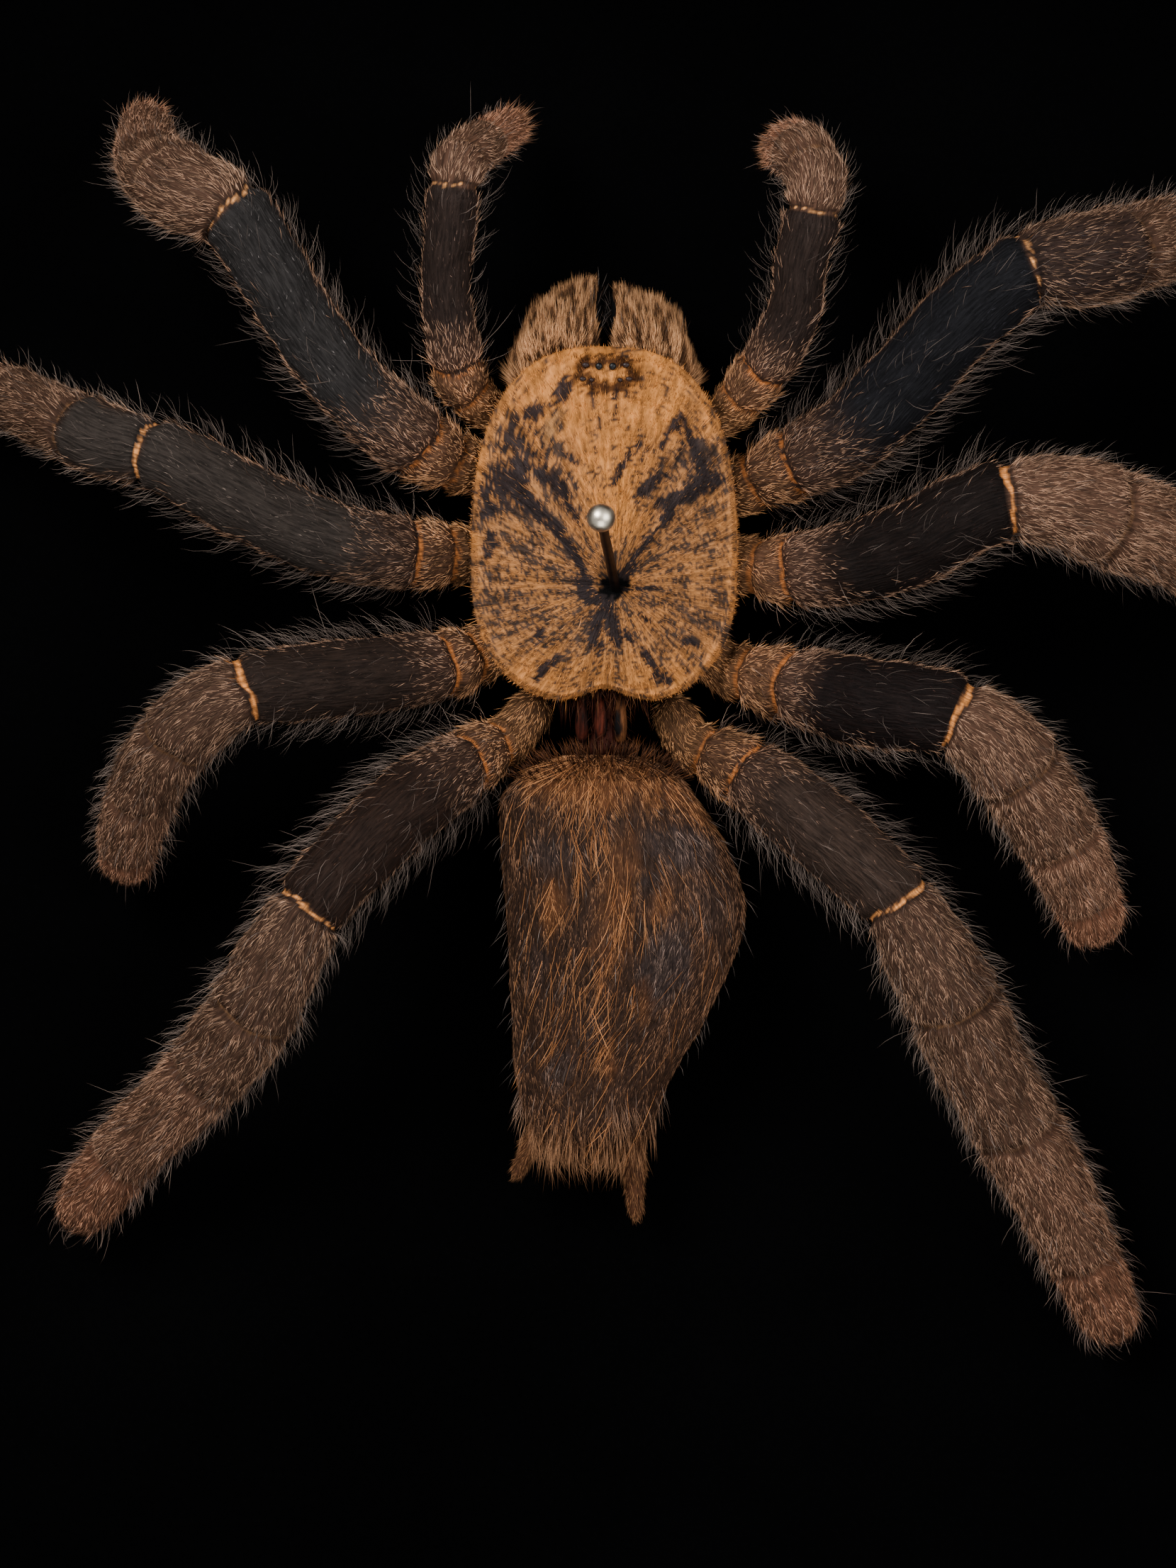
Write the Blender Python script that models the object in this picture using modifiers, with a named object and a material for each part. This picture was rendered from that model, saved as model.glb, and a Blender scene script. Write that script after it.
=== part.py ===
"""Framed tarantula specimen: a dried spider pinned to the black board of an open-fronted box frame.

The frame lies on its back. The origin is the middle of the frame's back plane, +Z points out of the
front and +Y towards the spider's head. Sizes in this file are millimetres, and MM turns them into
Blender's metres. Heights of the spider are measured from the face of the black board.
"""

import math
from collections import namedtuple

import bmesh
import bpy
from mathutils import Matrix, Vector

MM = 0.001
GAP = 0.3

# Frame
FRAME_OUTER = 168.0
FRAME_DEPTH = 42.0
RAIL_WIDTH = 14.0
RABBET_WIDTH = 6.0
EDGE_ROUND = 1.0
BOARD_THICK = 8.0
BOARD_FACE = 12.8
PANEL_THICK = 2.9
PANEL_BACK = 1.6
OPENING = FRAME_OUTER - 2 * RAIL_WIDTH
RABBET_OUTER = OPENING + 2 * RABBET_WIDTH
LEDGE = BOARD_FACE + GAP

# Glazier's points that hold the back panel
POINT_LENGTH = 8.0
POINT_WIDTH = 6.0
POINT_THICK = 0.6
POINT_BACK = 0.7

# Carapace, seen from above: a superellipse about BODY_MID, wider behind than in front
BODY_MID = Vector((-1.85, 12.0))
HALF_WIDTH = 9.4
FRONT_REACH = 15.0
REAR_REACH = 10.25
OUTLINE_POWER = 2.6
REAR_NOTCH = 1.2
FOVEA = Vector((-1.1, 10.2))
MARGIN_SIDE = 9.3
MARGIN_FRONT_RISE = 1.5
DOME_RISE = 2.7
HEAD_RISE = 1.3
FOVEA_DEPTH = 1.0
STRIA_DEPTH = 0.3
STRIA_COUNT = 8
CARAPACE_SEGMENTS = 32
CARAPACE_TOP_RINGS = 9
# Underside, from the rim to the middle of the sternum: share of the outline, height
UNDERSIDE = ((0.97, -0.75), (0.80, -1.05), (0.66, -1.45))
STERNUM = ((0.58, 6.2), (0.52, 3.7), (0.40, 2.5), (0.22, 2.15), (0.0, 2.1))
REAR_CORE_STRETCH = 0.13

# Eye mound
EYE_MOUND = Vector((-1.75, 24.7, 12.55))
EYE_HALF = Vector((2.0, 1.3, 0.9))

# Chelicerae: distance from the mid-plane and the side, top and bottom as they run forward
CHELICERA_GAP = 0.25
CHELICERA_BACK = 22.6
CHELICERA_FRONT = 32.3
CHELICERA_OUTER = 6.75
CHELICERA_WIDEST = 25.2

# Fangs, folded back under the chelicerae, with x counted from the mid-plane
FANG_STATIONS = (
    (3.5, 30.6, 6.2, 2.2), (3.6, 30.9, 4.2, 1.9), (3.4, 29.8, 2.5, 1.5), (3.0, 28.0, 1.7, 1.1),
    (2.6, 26.2, 1.4, 0.7),
)
FANG_SIDES = 6
FANG_SPACING = 1.4

# Abdomen, along the body: y, middle x, half width, middle height, half height
Slice = namedtuple("Slice", "y x half_width z half_height")
ABDOMEN = (
    Slice(-2.9, -2.1, 5.4, 7.5, 4.2),
    Slice(-4.7, -2.1, 7.1, 7.5, 5.4),
    Slice(-8.2, -1.1, 8.3, 7.3, 6.3),
    Slice(-12.3, -0.5, 8.8, 7.1, 6.6),
    Slice(-16.1, -0.7, 8.3, 6.9, 6.3),
    Slice(-20.4, -1.4, 7.1, 6.5, 5.5),
    Slice(-24.7, -2.6, 5.7, 6.1, 4.3),
    Slice(-28.3, -2.9, 4.3, 5.8, 3.2),
)
ABDOMEN_FRONT = -1.7
ABDOMEN_REAR = -30.0
ABDOMEN_SEGMENTS = 24
ABDOMEN_RINGS = 18
WAIST_RADIUS = 1.3
WAIST_FRONT = 4.3
WAIST_HEIGHT = 6.6

# Pin
PIN_HEAD = Vector((-2.1, 14.6, 22.0))
PIN_ENTRY = Vector((-1.1, 10.2, 11.6))
PIN_RADIUS = 0.35
PIN_HEAD_RADIUS = 1.0
PIN_POINT_HEIGHT = -6.4
HOLE_RADIUS = 0.67
PIN_TAPER = 3.0
PIN_STEPS = 12

# Limbs: the middle line from the body out, with the width over the dense fur at each station
Station = namedtuple("Station", "x y z width")
LIMB_SIDES = 10
LIMB_SPACING = 3.0
JOINT_REACH = 0.8
JOINT_DEPTH = 0.1


def limb_stations(*rows):
    return [Station(*row) for row in rows]


# Each limb: its stations, then where its joints fall, counted in stations
LIMBS = {
    "palp_left": (
        limb_stations(
            (-6.9, 21.7, 4.9, 3.0), (-9.8, 22.6, 5.5, 3.5), (-11.8, 24.5, 7.0, 4.2),
            (-12.5, 27.0, 8.6, 4.3), (-13.0, 31.5, 11.0, 4.0), (-12.7, 35.0, 12.6, 4.2),
            (-12.4, 38.0, 13.4, 4.2), (-11.9, 40.0, 12.7, 4.3), (-10.5, 41.3, 9.9, 4.1),
            (-8.9, 42.6, 6.6, 3.4), (-7.9, 43.5, 4.9, 2.6),
        ),
        (1.7, 2.6, 6.0, 7.1, 8.2),
    ),
    "palp_right": (
        limb_stations(
            (3.2, 21.2, 4.9, 3.2), (6.4, 22.2, 5.5, 3.6), (8.3, 24.2, 7.0, 4.2),
            (10.0, 26.4, 8.6, 4.5), (11.5, 29.5, 10.8, 4.3), (12.0, 33.0, 12.6, 4.3),
            (12.8, 36.2, 13.4, 4.5), (12.9, 39.0, 12.8, 4.9), (11.8, 40.9, 9.8, 4.8),
            (10.4, 41.3, 5.6, 3.4),
        ),
        (1.7, 2.6, 6.0, 7.2, 8.0),
    ),
    "leg_1_left": (
        limb_stations(
            (-7.6, 17.6, 5.0, 3.8), (-10.6, 18.6, 5.3, 4.2), (-13.2, 19.3, 6.7, 5.2),
            (-15.8, 20.9, 8.4, 6.0), (-19.5, 24.0, 10.8, 5.7), (-23.0, 28.5, 13.2, 5.6),
            (-25.4, 32.5, 15.2, 5.7), (-28.0, 36.2, 16.4, 5.9), (-31.4, 37.9, 15.2, 6.6),
            (-33.7, 39.9, 10.6, 5.7), (-34.4, 42.6, 5.4, 4.5), (-34.1, 44.2, 3.2, 3.6),
        ),
        (1.8, 2.7, 7.0, 8.3, 9.1, 10.2),
    ),
    "leg_1_right": (
        limb_stations(
            (4.4, 16.5, 5.0, 3.8), (7.0, 17.0, 5.4, 4.4), (9.8, 18.2, 6.9, 5.2),
            (13.0, 19.5, 8.7, 6.0), (16.0, 21.3, 10.4, 6.2), (19.0, 24.2, 12.3, 6.2),
            (22.0, 27.5, 14.2, 6.2), (25.0, 30.3, 15.7, 6.2), (27.8, 32.2, 16.3, 6.0),
            (31.5, 32.8, 15.8, 7.2), (35.5, 33.8, 13.7, 6.7), (39.0, 34.8, 11.0, 6.2),
            (43.0, 35.0, 7.8, 5.4), (47.0, 34.2, 4.8, 4.8), (50.4, 33.0, 2.9, 4.2),
        ),
        (1.7, 2.6, 8.0, 9.8, 11.5, 13.0),
    ),
    "leg_2_left": (
        limb_stations(
            (-7.6, 12.4, 5.0, 3.9), (-10.7, 12.5, 5.3, 4.4), (-13.5, 12.5, 6.8, 5.1),
            (-16.5, 12.6, 8.4, 5.7), (-19.5, 13.0, 10.2, 5.8), (-23.5, 14.3, 12.2, 5.9),
            (-27.5, 16.3, 14.2, 5.9), (-31.0, 18.2, 15.6, 5.7), (-33.8, 19.5, 16.0, 5.3),
            (-37.0, 20.3, 15.0, 5.8), (-40.6, 22.0, 12.4, 5.4), (-44.5, 23.8, 9.0, 4.8),
            (-48.4, 25.0, 5.4, 4.4), (-52.0, 25.6, 2.8, 4.0),
        ),
        (1.8, 2.7, 8.0, 9.5, 10.9, 12.2),
    ),
    "leg_2_right": (
        limb_stations(
            (4.1, 12.2, 5.0, 3.9), (7.2, 12.0, 5.4, 4.4), (9.9, 11.4, 6.6, 5.1),
            (13.0, 11.5, 8.2, 6.0), (16.5, 12.0, 10.2, 6.4), (20.0, 13.2, 12.2, 6.6),
            (23.2, 14.9, 14.0, 6.4), (26.5, 16.1, 15.0, 6.2), (30.5, 15.8, 14.8, 7.3),
            (34.5, 14.6, 13.0, 7.6), (38.5, 13.2, 10.6, 7.2), (42.5, 11.4, 7.8, 6.2),
            (46.0, 9.0, 5.2, 5.2), (49.0, 6.2, 3.0, 4.3),
        ),
        (1.7, 2.5, 7.0, 8.7, 10.5, 12.1),
    ),
    "leg_3_left": (
        limb_stations(
            (-7.4, 7.6, 5.0, 3.9), (-9.8, 5.9, 5.4, 4.3), (-12.2, 4.9, 6.7, 5.1),
            (-15.0, 4.3, 8.4, 5.7), (-19.0, 3.8, 11.0, 5.9), (-23.0, 3.3, 13.2, 5.9),
            (-26.8, 2.8, 14.5, 5.6), (-30.2, 1.0, 14.0, 6.1), (-32.8, -1.7, 12.0, 6.0),
            (-34.5, -4.6, 9.2, 5.7), (-35.5, -7.5, 6.2, 5.1), (-35.9, -10.3, 3.2, 4.4),
        ),
        (1.6, 2.4, 6.0, 7.6, 9.0, 10.3),
    ),
    "leg_3_right": (
        limb_stations(
            (4.0, 7.2, 5.0, 3.9), (6.6, 4.6, 5.4, 4.2), (9.4, 3.7, 6.7, 5.2),
            (13.0, 2.8, 8.8, 6.3), (16.5, 2.0, 11.0, 6.8), (20.0, 1.5, 13.0, 6.6),
            (22.8, 1.0, 14.0, 6.1), (25.6, -1.0, 13.6, 6.9), (28.0, -4.0, 11.8, 7.0),
            (30.2, -7.5, 9.3, 6.5), (32.0, -11.0, 6.4, 5.8), (33.4, -14.9, 3.2, 4.7),
        ),
        (1.6, 2.5, 6.0, 7.6, 9.0, 10.2),
    ),
    "leg_4_left": (
        limb_stations(
            (-6.3, 2.6, 5.0, 3.8), (-8.4, -0.3, 5.6, 4.0), (-10.6, -1.7, 7.3, 5.0),
            (-13.5, -3.6, 9.6, 6.0), (-16.5, -6.0, 12.0, 6.1), (-19.5, -9.0, 13.8, 6.0),
            (-22.5, -12.5, 15.0, 5.8), (-24.8, -16.5, 14.5, 6.6), (-27.0, -20.4, 12.8, 6.9),
            (-29.3, -23.4, 11.0, 6.5), (-32.2, -26.4, 9.0, 5.9), (-35.4, -29.5, 6.6, 5.6),
            (-38.0, -32.7, 4.4, 5.2), (-39.9, -35.4, 2.8, 4.2),
        ),
        (1.5, 2.3, 6.0, 7.8, 9.3, 11.3),
    ),
    "leg_4_right": (
        limb_stations(
            (2.6, 2.4, 5.0, 3.8), (4.1, -0.6, 5.6, 3.9), (6.7, -2.1, 7.2, 5.0),
            (10.0, -4.2, 9.6, 6.0), (13.0, -6.7, 12.0, 6.2), (16.0, -9.3, 13.8, 6.0),
            (18.6, -12.0, 15.0, 5.8), (21.0, -16.0, 14.5, 7.0), (23.0, -20.0, 13.1, 7.3),
            (25.0, -24.0, 11.5, 7.1), (27.5, -28.5, 9.4, 6.8), (30.0, -33.0, 7.2, 6.4),
            (32.2, -37.5, 5.0, 5.8), (35.0, -43.4, 2.8, 4.5),
        ),
        (1.6, 2.5, 6.0, 7.8, 9.9, 12.0),
    ),
}

SPINNERETS = {
    "spinneret_left": limb_stations(
        (-5.6, -26.6, 5.2, 2.0), (-6.7, -28.9, 4.7, 1.9), (-7.5, -30.4, 4.3, 1.6), (-8.2, -31.8, 3.9, 1.1)
    ),
    "spinneret_right": limb_stations(
        (-0.3, -26.6, 5.4, 2.2), (0.1, -29.6, 4.8, 2.1), (0.3, -32.2, 4.3, 1.8), (0.4, -34.8, 3.9, 1.1)
    ),
}
SPINNERET_SIDES = 8
SPINNERET_SPACING = 1.8


def clear_scene():
    """Removes every object, so that the file builds the same from any start."""
    for thing in list(bpy.data.objects):
        bpy.data.objects.remove(thing)


def make_collection(name):
    collection = bpy.data.collections.new(name)
    bpy.context.scene.collection.children.link(collection)
    return collection


def make_material(name, colour, roughness, metallic=0.0):
    material = bpy.data.materials.new(name)
    material.use_nodes = True
    shader = material.node_tree.nodes["Principled BSDF"]
    shader.inputs["Base Color"].default_value = (*colour, 1.0)
    shader.inputs["Roughness"].default_value = roughness
    shader.inputs["Metallic"].default_value = metallic
    return material


def place_object(name, mesh, material, collection):
    thing = bpy.data.objects.new(name, mesh)
    if not mesh.materials:
        mesh.materials.append(material)
    collection.objects.link(thing)
    return thing


def as_cutter(thing):
    thing.hide_render = True
    thing.display_type = "WIRE"
    return thing


def boolean(target, other, operation):
    modifier = target.modifiers.new(operation.lower(), "BOOLEAN")
    modifier.operation = operation
    modifier.solver = "EXACT"
    modifier.object = other


def blend(values, position):
    """A smooth curve through values at whole numbers, read at position."""
    last = len(values) - 1
    start = min(int(position), last - 1)
    share = position - start
    before = values[max(start - 1, 0)]
    first, second = values[start], values[start + 1]
    after = values[min(start + 2, last)]
    return 0.5 * (
        2 * first
        + (second - before) * share
        + (2 * before - 5 * first + 4 * second - after) * share**2
        + (3 * first - before - 3 * second + after) * share**3
    )


def shaped_sphere(name, segments, rings, place, material, collection):
    """A UV sphere whose points are moved: place(ring, angle) gives a point in millimetres.

    Ring 0 is the first pole and ring number `rings` the last, and angle runs round the axis.
    """
    sphere = bmesh.new()
    bmesh.ops.create_uvsphere(sphere, u_segments=segments, v_segments=rings, radius=1.0)
    for vertex in sphere.verts:
        ring = round(math.acos(max(-1.0, min(1.0, vertex.co.z))) / math.pi * rings)
        angle = math.atan2(vertex.co.y, vertex.co.x)
        vertex.co = Vector(place(ring, angle)) * MM
    if sphere.calc_volume(signed=True) < 0:
        bmesh.ops.reverse_faces(sphere, faces=sphere.faces)
    mesh = bpy.data.meshes.new(name)
    sphere.to_mesh(mesh)
    sphere.free()
    mesh.shade_smooth()
    return place_object(name, mesh, material, collection)


def above_board(z):
    return z + BOARD_FACE


def carapace_outline(angle):
    """The carapace's edge, seen from above, in the direction angle from its middle."""
    along = math.sin(angle)
    across = math.cos(angle)
    reach = FRONT_REACH if along > 0 else REAR_REACH
    radius = (
        abs(across / HALF_WIDTH) ** OUTLINE_POWER + abs(along / reach) ** OUTLINE_POWER
    ) ** (-1 / OUTLINE_POWER)
    notch = REAR_NOTCH * math.exp(-((math.cos(angle) / 0.22) ** 2)) if along < 0 else 0.0
    return BODY_MID + Vector((across, along)) * (radius - notch)


def carapace_margin(angle):
    return MARGIN_SIDE + MARGIN_FRONT_RISE * max(0.0, math.sin(angle)) ** 2


def carapace_top(share, angle):
    """Height of the carapace's back, at a share of the way from the fovea to the edge."""
    dome = DOME_RISE * (1 - share**2.6)
    head_line = max(0.0, math.sin(angle)) ** 6
    head = HEAD_RISE * head_line * math.sin(math.pi * min(1.0, share * 0.95)) ** 0.7
    pit = FOVEA_DEPTH * math.exp(-((share / 0.11) ** 2))
    groove = max(0.0, math.cos(STRIA_COUNT * (angle - math.pi / 2))) ** 2
    stria = STRIA_DEPTH * (1 - groove) * math.sin(math.pi * share)
    return carapace_margin(angle) + dome + head - pit - stria


def prosoma_point(ring, angle):
    edge = carapace_outline(angle)
    if ring <= CARAPACE_TOP_RINGS:
        share = ring / CARAPACE_TOP_RINGS
        flat = FOVEA.lerp(edge, share)
        return (*flat, above_board(carapace_top(share, angle)))
    below = ring - CARAPACE_TOP_RINGS - 1
    if below < len(UNDERSIDE):
        share, drop = UNDERSIDE[below]
        height = carapace_margin(angle) + drop
    else:
        share, height = STERNUM[below - len(UNDERSIDE)]
    share += REAR_CORE_STRETCH * max(0.0, -math.sin(angle)) ** 2 * share * (share < 0.7)
    flat = BODY_MID.lerp(edge, share)
    return (*flat, above_board(height))


def make_prosoma(material, collection, cutters):
    """Carapace and breast in one piece, with the eye mound on it and the pin's hole through it."""
    rings = CARAPACE_TOP_RINGS + len(UNDERSIDE) + len(STERNUM)
    prosoma = shaped_sphere("prosoma", CARAPACE_SEGMENTS, rings, prosoma_point, material, collection)
    mound = shaped_sphere(
        "eye_mound",
        14,
        8,
        lambda ring, angle: (
            EYE_MOUND.x + EYE_HALF.x * math.sin(math.pi * ring / 8) * math.cos(angle),
            EYE_MOUND.y + EYE_HALF.y * math.sin(math.pi * ring / 8) * math.sin(angle),
            above_board(EYE_MOUND.z + EYE_HALF.z * math.cos(math.pi * ring / 8)),
        ),
        material,
        cutters,
    )
    boolean(prosoma, as_cutter(mound), "UNION")
    return prosoma


def chelicera_point(side, ring, angle, rings):
    """A chelicera: flat against its twin, round outside, falling to the fang in front."""
    ahead = (1 - math.cos(math.pi * ring / rings)) / 2
    y = CHELICERA_BACK + (CHELICERA_FRONT - CHELICERA_BACK) * ahead
    closing = max(0.0, y - CHELICERA_WIDEST) / (CHELICERA_FRONT - CHELICERA_WIDEST)
    opening = max(0.0, CHELICERA_WIDEST - y) / (CHELICERA_WIDEST - CHELICERA_BACK)
    swell = (1 - closing**2.3) ** (1 / 2.3) * math.sqrt(max(0.0, 1 - opening**2))
    outer = CHELICERA_GAP + (CHELICERA_OUTER - CHELICERA_GAP) * swell
    top = 9.4 + 2.3 * min(1.0, max(0.0, (y - 26.4) / 1.8)) - 4.2 * closing**2.4
    bottom = 3.0 + 2.6 * closing**3 + 2.0 * opening**2
    middle_x = (CHELICERA_GAP + outer) / 2
    half_x = (outer - CHELICERA_GAP) / 2
    middle_z = (top + bottom) / 2
    half_z = (top - bottom) / 2 * math.sin(math.pi * ring / rings) ** 0.35
    round_x = math.copysign(abs(math.cos(angle)) ** 0.8, math.cos(angle))
    round_z = math.copysign(abs(math.sin(angle)) ** 0.8, math.sin(angle))
    x = BODY_MID.x + side * (middle_x + half_x * round_x)
    return (x, y, above_board(middle_z + half_z * round_z))


def make_chelicera(name, side, material, collection, cutters):
    """One chelicera with its fang folded back beneath it."""
    rings = 12
    chelicera = shaped_sphere(
        name, 16, rings, lambda ring, angle: chelicera_point(side, ring, angle, rings), material, collection
    )
    stations = limb_stations(*((BODY_MID.x + side * x, y, z, width) for x, y, z, width in FANG_STATIONS))
    fang = make_limb("fang_of_" + name, stations, (), FANG_SIDES, FANG_SPACING, material, cutters)
    boolean(chelicera, as_cutter(fang), "UNION")
    return chelicera


def abdomen_point(ring, angle):
    """The sac: elliptical slices along the body, closed by a pole at each end."""
    if ring == 0:
        first = ABDOMEN[0]
        return (first.x, ABDOMEN_FRONT, above_board(first.z))
    if ring == ABDOMEN_RINGS:
        last = ABDOMEN[-1]
        return (last.x, ABDOMEN_REAR, above_board(last.z))
    position = (ring - 1) / (ABDOMEN_RINGS - 2) * (len(ABDOMEN) - 1)
    y, x, half_width, z, half_height = (
        blend([getattr(piece, field) for piece in ABDOMEN], position) for field in Slice._fields
    )
    return (x + half_width * math.cos(angle), y, above_board(z + half_height * math.sin(angle)))


def make_abdomen(material, collection, cutters):
    """The sac and the narrow waist that ties it to the prosoma."""
    abdomen = shaped_sphere(
        "abdomen", ABDOMEN_SEGMENTS, ABDOMEN_RINGS, abdomen_point, material, collection
    )
    waist_back = ABDOMEN[1].y
    waist_mesh = bpy.data.meshes.new("waist")
    waist_shape = bmesh.new()
    bmesh.ops.create_cone(
        waist_shape,
        cap_ends=True,
        segments=10,
        radius1=WAIST_RADIUS * MM,
        radius2=WAIST_RADIUS * MM,
        depth=(WAIST_FRONT - waist_back) * MM,
        matrix=Matrix.Rotation(math.pi / 2, 4, "X"),
    )
    waist_shape.to_mesh(waist_mesh)
    waist_shape.free()
    waist = place_object("waist", waist_mesh, material, cutters)
    waist.location = Vector((BODY_MID.x, (WAIST_FRONT + waist_back) / 2, above_board(WAIST_HEIGHT))) * MM
    boolean(abdomen, as_cutter(waist), "UNION")
    return abdomen


def limb_path(stations):
    """Points along a limb's middle line, with their radius and the distance run so far."""
    steps = 12
    count = (len(stations) - 1) * steps
    rows = []
    distance = 0.0
    for step in range(count + 1):
        position = step / steps
        point = Vector([blend([getattr(s, field) for s in stations], position) for field in "xyz"])
        radius = blend([s.width for s in stations], position) / 2
        if rows:
            distance += (point - rows[-1][1]).length
        rows.append((position, point, radius, distance))
    return rows


def read_path(rows, distance):
    """The point and radius of a limb at a distance along its middle line."""
    for (_, first, radius, start), (_, second, next_radius, end) in zip(rows, rows[1:]):
        if distance <= end:
            share = (distance - start) / (end - start)
            return first.lerp(second, share), radius + (next_radius - radius) * share
    return rows[-1][1].copy(), rows[-1][2]


def ring_stops(rows, joint_places, spacing):
    """Distances of the rings: close together at the ends and the joints, even between."""
    length = rows[-1][3]
    head, tail = rows[0][2], rows[-1][2]
    stops = [0.0, 0.16 * head, 0.6 * head, length - 0.75 * tail, length - 0.25 * tail, length]
    for place in joint_places:
        middle = min(rows, key=lambda row: abs(row[0] - place))[3]
        stops += [middle - JOINT_REACH, middle, middle + JOINT_REACH]
    stops.sort()
    filled = [stops[0]]
    for stop in stops[1:]:
        room = stop - filled[-1]
        if room < 0.3:
            continue
        extra = int(room / spacing)
        start = filled[-1]
        filled += [start + room * (n + 1) / (extra + 1) for n in range(extra)]
        filled.append(stop)
    filled[-1] = length
    return filled


def make_limb(name, stations, joint_places, sides, spacing, material, collection):
    """A limb as one tapering form with a shallow waist at each joint and rounded ends."""
    rows = limb_path(stations)
    length = rows[-1][3]
    stops = ring_stops(rows, joint_places, spacing)
    joints = [min(rows, key=lambda row: abs(row[0] - place))[3] for place in joint_places]
    frames = []
    upright = Vector((0, 0, 1))
    for stop in stops:
        point, radius = read_path(rows, stop)
        ahead = (read_path(rows, min(length, stop + 0.4))[0] - read_path(rows, max(0.0, stop - 0.4))[0])
        ahead.normalize()
        upright = (upright - ahead * upright.dot(ahead)).normalized()
        waist = max([0.0] + [1 - abs(stop - joint) / JOINT_REACH for joint in joints])
        from_head = min(1.0, stop / rows[0][2])
        from_tail = min(1.0, (length - stop) / rows[-1][2])
        rounding = math.sqrt(max(0.0, 1 - (1 - from_head) ** 2))
        rounding *= math.sqrt(max(0.0, 1 - (1 - from_tail) ** 2))
        frames.append((point, ahead.cross(upright), upright.copy(), radius * rounding * (1 - JOINT_DEPTH * waist)))

    def limb_point(ring, angle):
        point, across, up, radius = frames[ring]
        spot = point + (across * math.cos(angle) + up * math.sin(angle)) * radius
        return (spot.x, spot.y, above_board(spot.z))

    return shaped_sphere(name, sides, len(frames) - 1, limb_point, material, collection)


def carve(target, neighbour, cutters, clearance=GAP + 0.05):
    """Cuts target back so that it stays a small gap away from neighbour."""
    swollen = bpy.data.objects.new(neighbour.name + "_clearance_" + target.name, neighbour.data)
    swollen.matrix_world = neighbour.matrix_world
    cutters.objects.link(swollen)
    swell = swollen.modifiers.new("swell", "DISPLACE")
    swell.mid_level = 0.0
    swell.strength = clearance * MM
    boolean(target, as_cutter(swollen), "DIFFERENCE")


def pin_direction():
    return (PIN_HEAD - PIN_ENTRY).normalized()


def pin_spot(height):
    """The point of the pin's axis at a height above the board."""
    direction = pin_direction()
    spot = PIN_ENTRY + direction * ((height - PIN_ENTRY.z) / direction.z)
    return Vector((spot.x, spot.y, above_board(spot.z)))


def make_pin(material, collection):
    """A steel pin turned from one profile: ball head, shank and long point."""
    point_end = pin_spot(PIN_POINT_HEIGHT)
    head_middle = pin_spot(PIN_HEAD.z)
    length = (head_middle - point_end).length
    neck = math.asin(PIN_RADIUS / PIN_HEAD_RADIUS)
    arc_steps = 7
    profile = []
    for step in range(arc_steps + 1):
        turn = (math.pi - neck) * step / arc_steps
        profile.append((PIN_HEAD_RADIUS * math.sin(turn), length + PIN_HEAD_RADIUS * math.cos(turn)))
    profile += [(PIN_RADIUS, PIN_TAPER), (PIN_RADIUS * 0.55, PIN_TAPER * 0.4), (0.0, 0.0)]
    mesh = bpy.data.meshes.new("pin")
    points = [(x * MM, 0.0, z * MM) for x, z in profile]
    edges = [(n, n + 1) for n in range(len(points) - 1)]
    mesh.from_pydata(points, edges, [])
    pin = place_object("pin", mesh, material, collection)
    screw = pin.modifiers.new("turn", "SCREW")
    screw.axis = "Z"
    screw.angle = math.tau
    screw.steps = PIN_STEPS
    screw.render_steps = PIN_STEPS
    screw.use_merge_vertices = True
    screw.merge_threshold = 0.00001
    screw.use_smooth_shade = True
    pin.location = point_end * MM
    pin.rotation_mode = "QUATERNION"
    pin.rotation_quaternion = pin_direction().to_track_quat("Z", "Y")
    return pin


def make_pin_hole(name, low, high, collection, material, radius):
    """A straight rod along the pin's axis, to cut the pin's way with."""
    bottom, top = pin_spot(low), pin_spot(high)
    mesh = bpy.data.meshes.new(name)
    rod = bmesh.new()
    bmesh.ops.create_cone(
        rod,
        cap_ends=True,
        segments=12,
        radius1=radius * MM,
        radius2=radius * MM,
        depth=(top - bottom).length * MM,
    )
    rod.to_mesh(mesh)
    rod.free()
    hole = place_object(name, mesh, material, collection)
    hole.location = (bottom + top) / 2 * MM
    hole.rotation_mode = "QUATERNION"
    hole.rotation_quaternion = pin_direction().to_track_quat("Z", "Y")
    return as_cutter(hole)


def flat_plate(name, outline, low, high, material, collection):
    """A plate with a flat outline, as a filled 2D curve with thickness, made a mesh."""
    curve = bpy.data.curves.new(name, "CURVE")
    curve.dimensions = "2D"
    curve.fill_mode = "BOTH"
    curve.extrude = (high - low) / 2 * MM
    spline = curve.splines.new("POLY")
    spline.points.add(len(outline) - 1)
    for point, (x, y) in zip(spline.points, outline):
        point.co = (x * MM, y * MM, 0.0, 1.0)
    spline.use_cyclic_u = True
    drawn = bpy.data.objects.new(name + "_curve", curve)
    collection.objects.link(drawn)
    bpy.context.view_layer.update()
    graph = bpy.context.evaluated_depsgraph_get()
    mesh = bpy.data.meshes.new_from_object(drawn.evaluated_get(graph))
    bpy.data.objects.remove(drawn)
    solid = bmesh.new()
    solid.from_mesh(mesh)
    bmesh.ops.remove_doubles(solid, verts=solid.verts, dist=0.00001)
    bmesh.ops.recalc_face_normals(solid, faces=solid.faces)
    bmesh.ops.translate(solid, verts=solid.verts, vec=(0, 0, (low + high) / 2 * MM))
    solid.to_mesh(mesh)
    solid.free()
    mesh.name = name
    return place_object(name, mesh, material, collection)


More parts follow.
